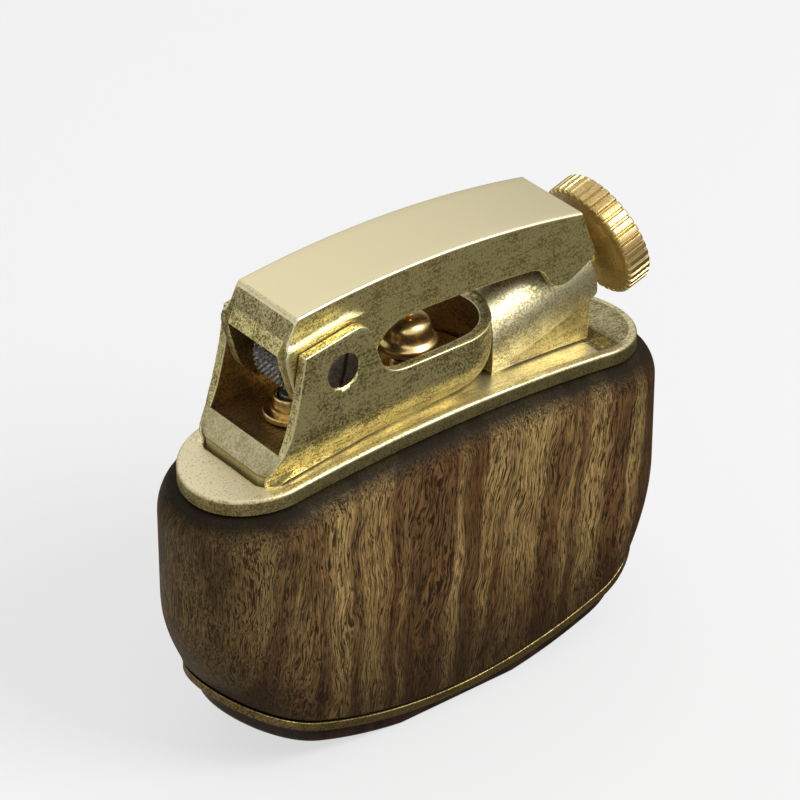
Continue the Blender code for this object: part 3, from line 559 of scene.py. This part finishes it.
def arc(x, z, radius_x, radius_z, start, end, steps=10):
    """Points along an elliptical arc round (x, z), between two angles in degrees."""
    a = np.radians(np.linspace(start, end, steps))
    return list(zip(x + radius_x * np.cos(a), z + radius_z * np.sin(a)))


# The casting's front line: how far forward it reaches at each height, in millimetres over the deck.
FRONT_Z = (-2.2, -0.5, 0.0, 1.0, 2.0, 4.0, 6.0, 8.0, 10.0, 12.0, 16.0)
FRONT_X = (-21.5, -21.55, -21.6, -20.9, -20.2, -19.35, -18.8, -18.3, -17.95, -17.6, -17.0)
HALF = 6.4                            # half of the casting's width
WALL = 1.05                           # its walls' thickness


def foot_line(x):
    """The casting's underside, in millimetres: just over the pocket's floor, which falls with the deck."""
    return -x ** 2 / 360 - 0.6


EAR_TOP = [(-17.6, 12.0), (-11.6, 13.05)]
SILL = 6.5                            # how high the low wall round the wick stands


def skin(outer, inner):
    """Two walls of points joined row to row into one skin, whose ends are closed on their middle line."""
    ring = np.concatenate((outer, inner[::-1]))
    middle = (outer + inner) / 2
    caps = np.concatenate((middle, middle[::-1]))
    return np.concatenate((caps[:, :1], ring, caps[:, -1:]), 1)


def cup_wall():
    """A wall section carried from the near cheek's front, round the rear, to the far cheek's front. Its
    top follows the ears and the low sill, and near the front each section leans to the raked line."""
    ear = EAR_TOP + arc(-11.5, 11.2, 1.75, 1.85, 82, 8) + [(-9.42, 10.4), (-9.0, 9.0)]
    dip = bend((-9.0, 9.0), (-8.5, 7.2), (-7.4, 6.5), (-5.2, SILL), 12)
    turn_x = 1.8
    side = polyline(ear + dip + [(turn_x, SILL)], 0.22)
    side = side[np.concatenate(([True], np.diff(side[:, 0]) > 1e-4))]
    rear = np.radians(np.linspace(-90, 90, 40))[1:-1]
    x0 = np.concatenate((side[:, 0], np.full(len(rear), turn_x), side[::-1, 0]))
    top = np.concatenate((side[:, 1], np.full(len(rear), SILL), side[::-1, 1]))
    across = np.concatenate((np.full(len(side), -math.pi / 2), rear, np.full(len(side), math.pi / 2)))
    x0, top, across = x0[None], top[None], across[None]

    share = np.linspace(0, 1, 26)[:, None]
    foot = foot_line(x0 * np.interp(x0, (-17.6, -10), (21.5 / 17.6, 1)))
    z_out = foot + (top - foot) * share
    depth = unit((4.0 - z_out) / 4.9)
    foot_half = np.interp(x0, (-21, -17, -6, 6), (5.0, 5.1, 4.1, 3.2))
    half_out = HALF - (HALF - foot_half) * depth ** 1.9
    rear_wall = WALL + 0.35 * unit(x0 / 4.0)
    half_in = np.minimum(HALF - rear_wall + 0 * share, half_out - 0.3)

    def place(half, z, pull):
        """Points of one face of the wall. pull keeps the rear from drawing in as far as the sides do."""
        x = x0 + (half - 0.3 + pull * (HALF - half) * 0.75) * np.cos(across)
        y = half * np.sin(across)
        lean = unit((x0 + 12.5) / -5.1)
        raked = np.interp(z, FRONT_Z, FRONT_X)
        return stack((x * (1 - lean) + (raked + (x0 + 17.6)) * lean) * MM, y * MM, DECK + z * MM)

    ring = skin(place(half_out, z_out, 1), place(half_in, z_out, 0))
    inside = np.zeros((len(ring), ring.shape[1] - 1), int)
    inside[len(ring) // 2:-1, 1:-1] = 2
    return ring, inside


def floor_slab():
    """A side outline carried across between the cheeks: floor, front plate, crease and undercut foot. The
    plate is as wide as the casting is at that height, and its foot has round corners in plan."""
    top = [(1.9, 1.7), (-10.0, 1.7), (-19.3, 1.7), (-19.9, 1.72), (-20.08, 1.82), (-20.2, 1.96)]
    face = [(-20.24, 1.97), (-20.93, 1.0), (-21.4, 0.33), (-21.68, -0.02), (-21.74, -0.14), (-21.70, -0.26),
            (-21.60, -0.36), (-21.56, -0.6), (-21.56, -1.9)]
    under = [(-19.0, -1.6), (-10.0, -0.9), (1.9, -0.6)]
    points = np.array(top + face + under)
    x_line, z_line = points.T[:, :, None]
    across = np.sin(np.linspace(-1, 1, 41) * math.pi / 2)[None]
    wide = np.interp(z_line, (-2.0, -0.2, 0.0, 1.0, 2.0), (5.28, 5.3, 5.42, 5.74, 6.0))
    in_face = (x_line < -20.21) & (z_line < 1.99)
    narrow = np.interp(x_line, (-19, -5, 2), (4.9, 3.8, 3.0))
    half = np.where(in_face, wide, np.where(z_line > 1.0, HALF - WALL - 0.01, narrow))
    y = half * across
    low = unit((0.3 - z_line) / 0.7) * in_face
    corner = 1.6 * (1 - np.sqrt(1 - unit((abs(y) - 3.75) / 1.6) ** 2 * 0.96)) * low
    x = x_line + corner + np.where(x_line > 0, 4.4 * np.sqrt(1 - across ** 2), 0)
    grid = stack(x * MM, y * MM, DECK + z_line * MM)
    ends = [np.repeat(grid[:, k:k + 1].mean(0, keepdims=True), len(points), 0) for k in (0, -1)]
    inside = (np.arange(len(points)) < len(top) - 1)[:, None]
    return np.concatenate((ends[0], grid, ends[1]), 1), inside * 1


cast_brass = aged_brass("cast_brass", (0.93, 0.82, 0.40), (0.17, 0.135, 0.042), 0.42)
# Painted highlight: the frame's and the lid's rounded edges get this light brass.
edge_highlight = aged_brass("edge_highlight", (0.88, 0.80, 0.52), (0.66, 0.56, 0.29), 0.0, rough=0.36)
# Painted shade: the faces inside the frame, on its floor and under the lid get this darker brass.
shaded_inner_brass = aged_brass("shaded_inner_brass", (0.52, 0.36, 0.15), (0.17, 0.105, 0.037), 0.4)
wall, wall_slots = cup_wall()
cup = surface("frame_wall", wall, True, False, wall_slots)
PIVOT = (-13.2 * MM, DECK + 9.0 * MM)
SCREW_HEAD = 1.84                     # its radius, in millimetres
profile = [(0, -3), (1.87, -3), (1.87, 0.56), (1.03, 0.56), (1.03, 14), (0, 14)]
seat = turned("seat", (PIVOT[0], -HALF * MM, PIVOT[1]), (0, 1, 0), metres(profile))
for material in (cast_brass, edge_highlight, shaded_inner_brass):
    cup.data.materials.append(material)
# Its rounded edges take the edge brass, as painted highlights.
cup = cut(round_edges(cup, 0.17 * MM, 3, 1), seat)
dress(cup, "body", ["frame"], "cast_brass")
slab, slab_slots = floor_slab()
floor_piece = surface("frame_floor", slab, True, False, slab_slots, 40)
dress(floor_piece, "body", ["frame"], "cast_brass",
      aged_brass("floor_brass", (0.62, 0.56, 0.33), (0.40, 0.35, 0.18), 0.4), shaded_inner_brass)

# ---- Flint and wick tubes ----
# Two turned brass tubes stand in the frame's floor on their flanges. The flint tube is stepped, and
# the wick tube is lower, with a braided cotton wick in it.
gold_brass = polished_brass("gold_brass", (0.80, 0.60, 0.28), (0.36, 0.24, 0.09), 0.22)
tube_low, tube_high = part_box("flint_tube")
FLINT_X = (tube_low.x + tube_high.x) / 2
flange = DECK + 1.95 * MM
profile = [(0, -10), (1.35, -10), (1.35, 1.9), (1.5, 2.0), (1.65, 2.0), (1.75, 1.9), (1.75, 0.95),
           (2.0, 0.85), (2.0, 0.55), (2.2, 0.5), (2.7, 0.5), (2.8, 0.4), (2.8, 0), (1.9, -0.2), (1.9, -12),
           (0, -12)]
dress(turned("flint_guide", (FLINT_X, 0, flange), (0, 0, 1), metres(profile)), "body", ["flint_tube"],
      "gold_brass", gold_brass)

wick_low, wick_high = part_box("wick_tube")
WICK_X = (wick_low.x + wick_high.x) / 2
profile = [(1.5, -6), (1.5, 1.0), (1.6, 1.05), (1.8, 1.05), (1.9, 0.95), (1.9, 0.5), (2.8, 0.5), (2.9, 0.4),
           (2.9, 0), (2.0, -0.2), (2.0, -6)]
dress(turned("wick_holder", (WICK_X, 0, flange), (0, 0, 1), metres(profile), wrap=True), "body",
      ["wick_tube"], "bright_brass", gold_brass)


def cotton():
    """Off-white fibre, a little sooty in places."""
    material, tree, shader, coords = new_material("cotton")
    fluff = noise(tree, coords.outputs["Object"], 3000, 3, 0.7)
    soot = ramp(tree, fluff, ((0.3, (0.42, 0.39, 0.32)), (0.7, (0.82, 0.79, 0.70))))
    tree.links.new(soot, shader.inputs["Base Color"])
    shader.inputs["Roughness"].default_value = 0.95
    bump(tree, shader, fluff, 0.05 * MM)
    return material


white_cotton = cotton()
strand_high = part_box("wick")[1]
WICK_FROM = 30 * MM                   # below this height the wick lies in the cotton


def braid(angle, radius, height):
    """Two sets of strands wound opposite ways: the radius swells where they cross over."""
    climb = 2 * math.pi * height / (1.3 * MM)
    over = np.maximum(np.sin(5 * angle + climb), np.sin(5 * angle - climb))
    return np.where(radius > 0, radius * (0.93 + 0.07 * over), 0)


rise = np.linspace(0, strand_high.z - WICK_FROM, 70)
profile = [(0, 0)] + [(1.2 * MM, h) for h in rise] + [(0.8 * MM, rise[-1] + 0.05 * MM), (0, rise[-1])]
dress(turned("braided_wick", (WICK_X, 0, WICK_FROM), (0, 0, 1), profile, 60, braid, angle=60), "body",
      ["wick"], "cotton", white_cotton)

# ---- Hinge screw and striker wheel ----
# A blackened steel screw crosses both cheeks and carries the lid and the hardened wheel. The wheel's
# rim is cut both ways into small teeth.


def steel(name, light, dark, grain, rough):
    """Steel with fine specks of bright and dark metal."""
    material, tree, shader, coords = new_material(name)
    speck = noise(tree, coords.outputs["Object"], grain, 4, 0.8)
    tree.links.new(ramp(tree, speck, ((0.4, dark), (0.62, light))), shader.inputs["Base Color"])
    tree.links.new(ramp(tree, speck, ((0.3, rough + 0.15), (0.7, rough))), shader.inputs["Roughness"])
    shader.inputs["Metallic"].default_value = 1.0
    bump(tree, shader, speck, 0.01 * MM, 0.5)
    return material


black_steel = steel("black_steel", (0.24, 0.18, 0.145), (0.085, 0.062, 0.050), 2500, 0.34)
wheel_steel = steel("wheel_steel", (0.44, 0.43, 0.40), (0.075, 0.072, 0.068), 2600, 0.4)
spring_steel = steel("spring_steel", (0.55, 0.54, 0.52), (0.28, 0.27, 0.26), 1500, 0.3)
face = -6.36 * MM
profile = [(0, 0), (1.1, 0.01), (1.6, 0.04), (SCREW_HEAD - 0.05, 0.1), (SCREW_HEAD, 0.2), (SCREW_HEAD, 0.5),
           (0.9, 0.5), (0.9, 12.75), (0, 12.75)]
screw = turned("hinge_screw", (PIVOT[0], face, PIVOT[1]), (0, 1, 0), metres(profile))
lean = math.radians(14)
slot_axes = np.array(((math.cos(lean), 0, -math.sin(lean)), (0, 1, 0), (math.sin(lean), 0, math.cos(lean))))
screw = cut(screw, block("slot", (PIVOT[0], face, PIVOT[1]), slot_axes, (0.24 * MM, 0.34 * MM, 3 * MM)))
dress(screw, "body", ["pivot_screw"], "dark_steel", black_steel)


def teeth(angle, radius, height):
    """Ridges that lean both ways round the rim: where both are high a tooth stands."""
    lean_by = height / (0.62 * MM) * 2 * math.pi
    cut_by = np.minimum(np.cos(46 * angle + lean_by), np.cos(46 * angle - lean_by))
    return np.where(radius > 4.4 * MM, radius - 0.16 * MM * (1 - cut_by), radius)


wheel_low, wheel_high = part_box("striker_wheel")
wide = np.linspace(0, wheel_high.y - wheel_low.y, 62)
profile = [(1.25 * MM, 0), (4.2 * MM, 0)] + [(4.6 * MM, h) for h in wide] + [(4.2 * MM, wide[-1]),
                                                                          (1.25 * MM, wide[-1])]
wheel = turned("spark_wheel", (PIVOT[0], wheel_low.y, PIVOT[1]), (0, 1, 0), profile, 460, teeth, True, 60)
dress(wheel, "wheel", ["striker_wheel"], "wheel_steel", wheel_steel)

# ---- Lid ----
# The arm: a brass channel, arched along its top, with two round lugs on the hinge screw, an arch over
# the wick and two claws at the rear that lie beside the barrel. A hollow fillet runs over the ears.
LID_HALF = 4.63                       # half widths: the arm's, and the lugs'
LUG_HALF = 5.2
LID_WALL = 0.85
LOW_ROUND = 0.16                      # rounding of the lower and the top edges
TOP_ROUND = 0.3
CROWN = (-3.1, 16.2)                  # the arch's highest point, in millimetres
LID_ARCH = 109                        # its radius


def rounding(distance, radius):
    """How far a rounded edge is drawn in at a distance from the sharp corner it replaces."""
    return radius * (1 - np.sqrt(1 - unit(1 - distance / radius) ** 2))


def lid_channel():
    """A channel section carried from front to rear. Each section is a line in the side view from a point
    on the lower edge to one on the top edge; at both ends the line bends out to the arm's end profile.
    The faces' slots are 1 along the edges, painted as highlights, 2 inside, painted as shade, 3 on the front
    and 0 elsewhere."""
    lug = arc(-13.2, 9.0, 5.0, 5.0, 195, 345, 30)
    lobe = bend((-8.37, 7.7), (-7.3, 9.4), (-6.6, 10.6), (-4.4, 10.75), 9)
    claw = [(-2.3, 10.8), (1.1, 10.72), (4.5, 10.58), (8.6, 10.25), (11.0, 10.02), (12.0, 9.7), (12.6, 9.2),
            (13.0, 8.5), (13.5, 7.6), (14.0, 7.2), (14.8, 7.0), (15.5, 7.05), (16.2, 7.3), (17.2, 7.85),
            (18.0, 8.3), (18.55, 8.7)]
    low = polyline(lug + lobe + claw, 0.28)
    first = low[0] + (low[4] - low[0]) * np.linspace(0, 1, 15)[:-1, None]
    low = np.concatenate((first, low[4:])).T[:, :, None]
    share = unit((low[0] + 18.2) / 36.75)
    top_x = -17.5 + 34.7 * share
    top_z = CROWN[1] - drop(top_x - CROWN[0], LID_ARCH)
    travel = np.concatenate(([0], np.cumsum(np.hypot(*np.diff(low[:, :, 0])))))[:, None]
    soft = 1.0
    top_z = top_z - 0.8 * soft * (1 - np.sqrt(1 - unit(1 - travel / soft) ** 2))
    from_front = unit(1 - travel / 3.0)
    from_rear = unit(1 - (travel[-1] - travel) / 2.5)

    def side_x(z):
        """Where each section's line stands at a height."""
        f = (z - low[1]) / (top_z - low[1])
        x = low[0] + (top_x - low[0]) * f
        front = np.interp(z, (7.7, 8.6, 10.1, 11.7, 15.0), (0, -0.33, -0.93, -1.4, 0))
        rear = np.interp(z, (8.7, 9.3, 9.9, 11.6, 14.3), (0, 0.48, 0.62, 0.28, 0))
        return x + from_front * front + from_rear * rear

    # Rows up a side crowd together at the rounded edges and in the fillet over the ear.
    ledge = np.interp(top_x, (-17.6, -17.1, -14.7, -11.4, -8, 18), (12.2, 12.4, 13.0, 13.5, 12.9, 12.4))
    ledge = np.clip(ledge, low[1] + 0.6, top_z - 1.6)
    steps = (6, 10, 12, 5, 8)
    levels = (low[1], low[1] + LOW_ROUND, ledge, ledge + 0.9, top_z - TOP_ROUND, top_z)
    rows = np.concatenate([np.linspace(k, k + 1, n + 1)[:-1] for k, n in enumerate(steps)] + [[5.0]])
    parts = unit(rows[None] - np.arange(5)[:, None])[:, None]
    z_out = low[1] + sum((b - a) * part for a, b, part in zip(levels[:-1], levels[1:], parts))
    over = unit((z_out - ledge) / 0.9)
    reach = unit((-8.9 - side_x(z_out)) / 2.2)
    reach = reach * reach * (3 - 2 * reach)
    flare = (LUG_HALF - LID_HALF) * (1 - np.sqrt(1 - (1 - over) ** 2 * 0.999)) * reach
    flare = np.where(over <= 0, (LUG_HALF - LID_HALF) * reach, flare)
    worn_off = rounding(z_out - low[1], LOW_ROUND) + rounding(top_z - z_out, TOP_ROUND)
    half_out = LID_HALF + flare - worn_off - rounding(travel, 0.4)

    roof = top_z - 1.1
    roof = np.where(travel < 3.0, np.minimum(roof, 11.6 + (roof - 11.6) * (travel > 1.3)), roof)
    roof = np.where(travel > travel[-1] - 1.6, np.minimum(roof, 10.9), roof)
    z_in = low[1] + (roof - low[1]) * (rows[None] / 5)
    half_in = LID_HALF - LID_WALL
    across = np.linspace(-1, 1, 9)[None, 1:-1]

    def loop(half, z, half_top, z_top):
        """Each section's points: up the near side, across the top and down the far side."""
        near = stack(side_x(z), -half + 0 * z, z)
        far = stack(side_x(z), half + 0 * z, z)[:, ::-1]
        lid_top = stack(side_x(z_top), half_top * across, z_top)
        return np.concatenate((near, lid_top, far), 1)

    outer = loop(half_out, z_out, half_out[:, -1:], top_z)
    inner = loop(half_in, z_in, half_in, roof)
    ring = skin(outer.swapaxes(0, 1), inner.swapaxes(0, 1)).swapaxes(0, 1)
    slots = np.zeros((len(ring) - 1, ring.shape[1]), int)
    half = ring.shape[1] // 2
    edge = np.concatenate((np.arange(2, steps[0]), np.arange(len(rows) - 1 - steps[-1], len(rows) - 1)))
    slots[:, edge] = 1
    slots[:, half - 2 - edge] = 1
    slots[2:9, :half] = 1
    slots[1:-1, half:-1] = 2
    slots[:2, :half] = 3
    return ring * MM + np.array((0, 0, DECK)), slots


# Painted light: the lid's faces that look up get a plain lighter colour, as light from above.
lid_brass = aged_brass("lid_brass", (0.92, 0.81, 0.39), (0.24, 0.19, 0.06), 0.42, satin=(0.86, 0.77, 0.50))
channel, channel_slots = lid_channel()
lid = surface("lid_arm", channel, slots=channel_slots, angle=40)
dress(lid, "lid_arm", ["lid"], "bright_brass", lid_brass, edge_highlight, shaded_inner_brass,
      aged_brass("lid_front", (0.56, 0.49, 0.25), (0.13, 0.105, 0.04), 0.55))

# ---- Snuffer ----
# A turned cap shuts over the wick tube, and its stem hangs it from the roof of the lid.
cap_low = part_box("snuffer_cap")[0]
profile = [(0, 3.5), (0.9, 3.5), (1.4, 3.44), (1.85, 3.25), (2.18, 2.9), (2.32, 2.45), (2.34, 2.0),
           (2.36, 1.7), (2.45, 1.35), (2.62, 1.12), (2.85, 0.98), (2.98, 0.78), (3.0, 0.5), (2.95, 0.2),
           (2.8, 0.03), (2.7, 0), (2.1, 0), (2.1, 1.7), (0, 1.7)]
dress(turned("snuffer", (WICK_X, 0, cap_low.z), (0, 0, 1), metres(profile), 72), "lid_arm", ["snuffer_cap"],
      "gold_brass", polished_brass("cap_brass", (0.98, 0.74, 0.33), (0.62, 0.41, 0.14), 0.24))

# ---- Inner parts ----
# The tank and its cotton, the seal, the flint, two springs, the rod, the latch, the plug, the ratchet
# with its pawl, and the cap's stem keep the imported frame's shapes: only their materials are given here.


def paint(material, *nodes):
    """Gives these nodes of the frame a material in place of their own."""
    for name in nodes:
        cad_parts[name].data.materials.clear()
        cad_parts[name].data.materials.append(material)


def seal_rubber():
    """Black rubber, faintly mottled."""
    material, tree, shader, coords = new_material("seal_rubber")
    grain = noise(tree, coords.outputs["Object"], 2000, 2)
    tree.links.new(ramp(tree, grain, ((0.3, 0.015), (0.7, 0.035))), shader.inputs["Base Color"])
    shader.inputs["Roughness"].default_value = 0.7
    return material


paint(gold_brass, "snuffer_stem", "fuel_tank", "spring_plug")
paint(spring_steel, "lid_spring", "ratchet_disc", "pawl", "flint_spring", "push_rod", "latch", "flint")
paint(white_cotton, "wadding")
paint(seal_rubber(), "filler_washer")

# ---- Barrel ----
# A cast tube that leans up to the knob, on a web that stands in the deck's pocket. The latch's nose
# stands up through a slot in its top, inside the lid.
TILT = math.radians(18)
KNOB_FACE = (22.0 * MM, 0, DECK + 7.3 * MM)


def barrel_front(y):
    """Where the barrel starts: just behind the casting's round rear."""
    return 1.8 * MM + 6.1 * MM * np.sqrt(1 - (y / (HALF * MM)) ** 2) + 0.2 * MM


BARREL_END = -2.3 * MM                # its end face, along the axis from the knob's
BORE = 2.7 * MM                       # the bore's radius
ALONG = np.array((math.cos(TILT), 0, math.sin(TILT)))
ACROSS = np.array((-math.sin(TILT), 0, math.cos(TILT)))


def barrel_tube():
    """A section carried along the leaning axis, round above and with straighter sides below. It starts
    along the casting's round rear, and turns in over the end face, through the shank's hole and down the
    wider bore."""
    angle = np.linspace(0, 2 * math.pi, 96, endpoint=False)[None]
    radius = np.array([0, 3.8, 3.8, 3.8, 3.8, 3.8, 3.74, 3.6, 2.2, 2.15, 2.15])
    radius = np.concatenate((radius * MM, (BORE, BORE, 0)))[:, None]
    share = np.array([0, 0, 0.25, 0.5, 0.75, 0.96, 0.99, 1, 1, 0.98, 0.92, 0.91, 0.08, 0.08])[:, None]
    upright = np.sign(np.cos(angle)) * abs(np.cos(angle)) ** np.where(np.sin(angle) < 0, 0.5, 1.0)
    outside = radius > 3 * MM
    across = radius * np.sin(angle) * np.where((np.sin(angle) < 0) & outside, 1.22, 1.0)
    beside = radius * np.where(outside, upright, np.cos(angle))
    start = (barrel_front(beside) - KNOB_FACE[0] + across * math.sin(TILT)) / math.cos(TILT)
    away = start + (BARREL_END - start) * share
    points = np.array(KNOB_FACE) + away[..., None] * ALONG + across[..., None] * ACROSS
    points[..., 1] += beside
    return points


def web():
    """An upright section carried along under the tube: waisted sides that flare out at the tube and at
    the foot, and a rear edge that draws in at the top."""
    share = np.linspace(0, 1, 20)[:, None]
    run = np.linspace(0, 1, 30)[None]
    foot_flare = 0.6 * unit(1 - share / 0.42) ** 2 * (1 - 0.8 * run)
    half = 2.7 + foot_flare + 0.9 * unit((share - 0.5) / 0.5)
    front_x = barrel_front(half[:, :1] * MM) / MM
    rear_x = np.interp(share, (0, 0.3, 0.6, 1), (19.9, 20.1, 20.2, 18.3))
    x = front_x + (rear_x - front_x) * run
    axis = 7.3 + (x - 22.0) * math.tan(TILT)
    foot = foot_line(x)
    z = foot + (axis - foot) * share
    return skin(*(stack(x * MM, side * half * MM, DECK + z * MM) for side in (-1, 1)))


barrel = surface("barrel_tube", barrel_tube(), angle=30)
nose = np.array((15.0 * MM, 0, DECK + 9.0 * MM))
barrel = cut(barrel, block("latch_way", nose, np.eye(3), (2.1 * MM, 0.95 * MM, 3.4 * MM)))
barrel_brass = aged_brass("barrel_brass", (0.93, 0.87, 0.58), (0.40, 0.34, 0.16), 0.38, rough=0.45)
dress(barrel, "body", ["barrel"], "bright_brass", barrel_brass)
web_brass = aged_brass("web_brass", (0.72, 0.61, 0.29), (0.27, 0.215, 0.085), 0.35)
saddle = surface("barrel_web", web(), True, False, angle=40)
bore = [(0, -13.5 * MM), (BORE, -13.5 * MM), (BORE, 0), (0, 0)]
saddle = cut(saddle, turned("bore", KNOB_FACE, ALONG, bore))
dress(saddle, "body", ["barrel"], "bright_brass", web_brass)

# ---- Return spring ----
# A coil of steel wire inside the barrel, between the plug at its front and the rod's piston, built at one
# length with a mesh of its own; the real spring gets shorter as the knob is pressed. Both ends are placed
# along the barrel's axis from the knob's face.
SPRING_FRONT = -12.7 * MM
PISTON = -8.95 * MM


def coil(turns, radius, wire):
    """A round wire wound on the barrel's axis from the plug to the piston, with its ends closed."""
    share = np.linspace(0, 1, turns * 32 + 1)[:, None]
    round_wire = np.linspace(0, 2 * math.pi, 10, endpoint=False)[None]
    turn = 2 * math.pi * turns * share
    outwards = radius + wire * np.cos(round_wire)
    clear = wire + 0.12 * MM
    height = SPRING_FRONT + clear + (PISTON - SPRING_FRONT - 2 * clear) * share + wire * np.sin(round_wire)
    spread = outwards * np.cos(turn), outwards * np.sin(turn), height
    points = np.array(KNOB_FACE) + sum(s[..., None] * v for s, v in zip(spread, axes_along(ALONG)))
    ends = [np.repeat(points[k:k + 1].mean(1, keepdims=True), 10, 1) for k in (0, -1)]
    return np.concatenate((ends[0], points, ends[1]))


return_coil = surface("return_coil", coil(4, 1.9 * MM, 0.17 * MM), angle=60)
dress(return_coil, "body", ["return_spring"], "spring_steel", spring_steel)
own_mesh(return_coil)

# ---- Knob ----
# Turned brass, with straight coarse flutes round its rim for the thumb, a dished outer face, and a
# cone on its inner face that runs down to the shank in the barrel.
FLUTES = 40
KNOB_RADIUS = 6.22


def flutes(angle, radius, height):
    """Flat-topped ridges round the rim, with narrow grooves between them, at any height."""
    phase = (angle * FLUTES / (2 * math.pi)) % 1 - 0.5
    groove = 0.34 * MM * np.exp(-(phase / 0.15) ** 4)
    return np.where(radius > 5.7 * MM, radius - groove, radius)


profile = [(0, 2.1), (3.6, 2.1), (4.6, 2.3), (5.0, 2.62), (5.3, 2.7), (5.6, 2.7), (6.0, 2.7), (6.12, 2.65),
           (6.2, 2.54), (KNOB_RADIUS, 2.4), (KNOB_RADIUS, 1.9), (KNOB_RADIUS, 1.35), (KNOB_RADIUS, 0.8),
           (KNOB_RADIUS, 0.3), (6.2, 0.16), (6.12, 0.05), (6.0, 0.0), (5.6, 0.0), (5.5, -0.01), (5.35, 0.05),
           (5.2, 0.05), (4.6, -0.08), (3.4, -0.4), (2.4, -0.64), (2.05, -0.82), (1.9, -1.1), (1.9, -3.5),
           (1.9, -5.6), (0, -5.6)]
knob_brass = aged_brass("knob_brass", (0.73, 0.57, 0.275), (0.46, 0.33, 0.125), 0.25, rough=0.38)
knob = turned("push_knob", KNOB_FACE, ALONG, metres(profile), FLUTES * 20, flutes, angle=42)
dress(knob, "plunger", ["knob"], "gold_brass", knob_brass)

# ---- Floor, light and camera ----
# A plain pale floor, a broad soft sky that is bright above and dark below, and one soft box.
floor_material = bpy.data.materials.new("pale_floor")
floor_material.use_nodes = True
tree = floor_material.node_tree
paper = tree.nodes["Principled BSDF"]
paper.inputs["Base Color"].default_value = (0.20, 0.20, 0.20, 1)
paper.inputs["Roughness"].default_value = 0.9
paper.inputs["Emission Color"].default_value = (1, 1, 1, 1)
paper.inputs["Emission Strength"].default_value = 0.63
across = np.linspace(-3.0, 3.0, 5)
ground = surface("floor", stack(across[:, None], across[None], np.zeros((5, 5))), False, False)
ground.data.materials.append(floor_material)
ground.visible_glossy = False
ground.visible_diffuse = False

world = bpy.data.worlds.new("studio")
bpy.context.scene.world = world
world.use_nodes = True
sky = world.node_tree
direction = add(sky, "ShaderNodeTexCoord").outputs["Generated"]
sideways, _, height = split(sky, direction)
shade = ramp(sky, scaled(sky, height, 0.5, 0.5),
             ((0.0, (0.33, 0.31, 0.26)), (0.40, (0.42, 0.40, 0.35)), (0.53, (0.62, 0.62, 0.61)),
              (0.68, (0.95, 0.95, 0.94)), (1.0, (0.85, 0.85, 0.85))))
level = scaled(sky, height, -1.6, 0.56, True)
one_side = scaled(sky, maths(sky, "MULTIPLY", sideways, level), 1.4, 0.0, True)
dim = ramp(sky, one_side, ((0.0, 1.0), (0.8, 0.2)))
sky.links.new(mix(sky, 1.0, shade, dim, "MULTIPLY"), sky.nodes["Background"].inputs["Color"])
sky.nodes["Background"].inputs["Strength"].default_value = 0.9


def soft_box(name, place, width, height, power, aim=(0, 0, 0.03)):
    """A wide rectangular lamp that looks at aim."""
    light = bpy.data.lights.new(name, "AREA")
    light.shape = "RECTANGLE"
    light.size = width
    light.size_y = height
    light.energy = power
    lamp = bpy.data.objects.new(name, light)
    lamp.location = place
    lamp.rotation_euler = (Vector(aim) - Vector(place)).to_track_quat("-Z", "Y").to_euler()
    bpy.context.scene.collection.objects.link(lamp)


soft_box("key", (0.25, -0.45, 0.5), 0.35, 0.25, 4.0)

azimuth, elevation, distance = math.radians(38.29), math.radians(32.53), 0.39917
target = Vector((-1.52 * MM, 0, DECK - 1.97 * MM))
back = Vector((-math.sin(azimuth) * math.cos(elevation), -math.cos(azimuth) * math.cos(elevation),
               math.sin(elevation)))
lens = bpy.data.cameras.new("camera")
lens.sensor_width = 36.0
lens.lens = 185.67
lens.clip_start = 0.01
camera = bpy.data.objects.new("camera", lens)
camera.location = target + back * distance
camera.rotation_euler = (-back).to_track_quat("-Z", "Y").to_euler()
bpy.context.scene.collection.objects.link(camera)
bpy.context.scene.camera = camera
bpy.context.scene.view_settings.view_transform = "Standard"
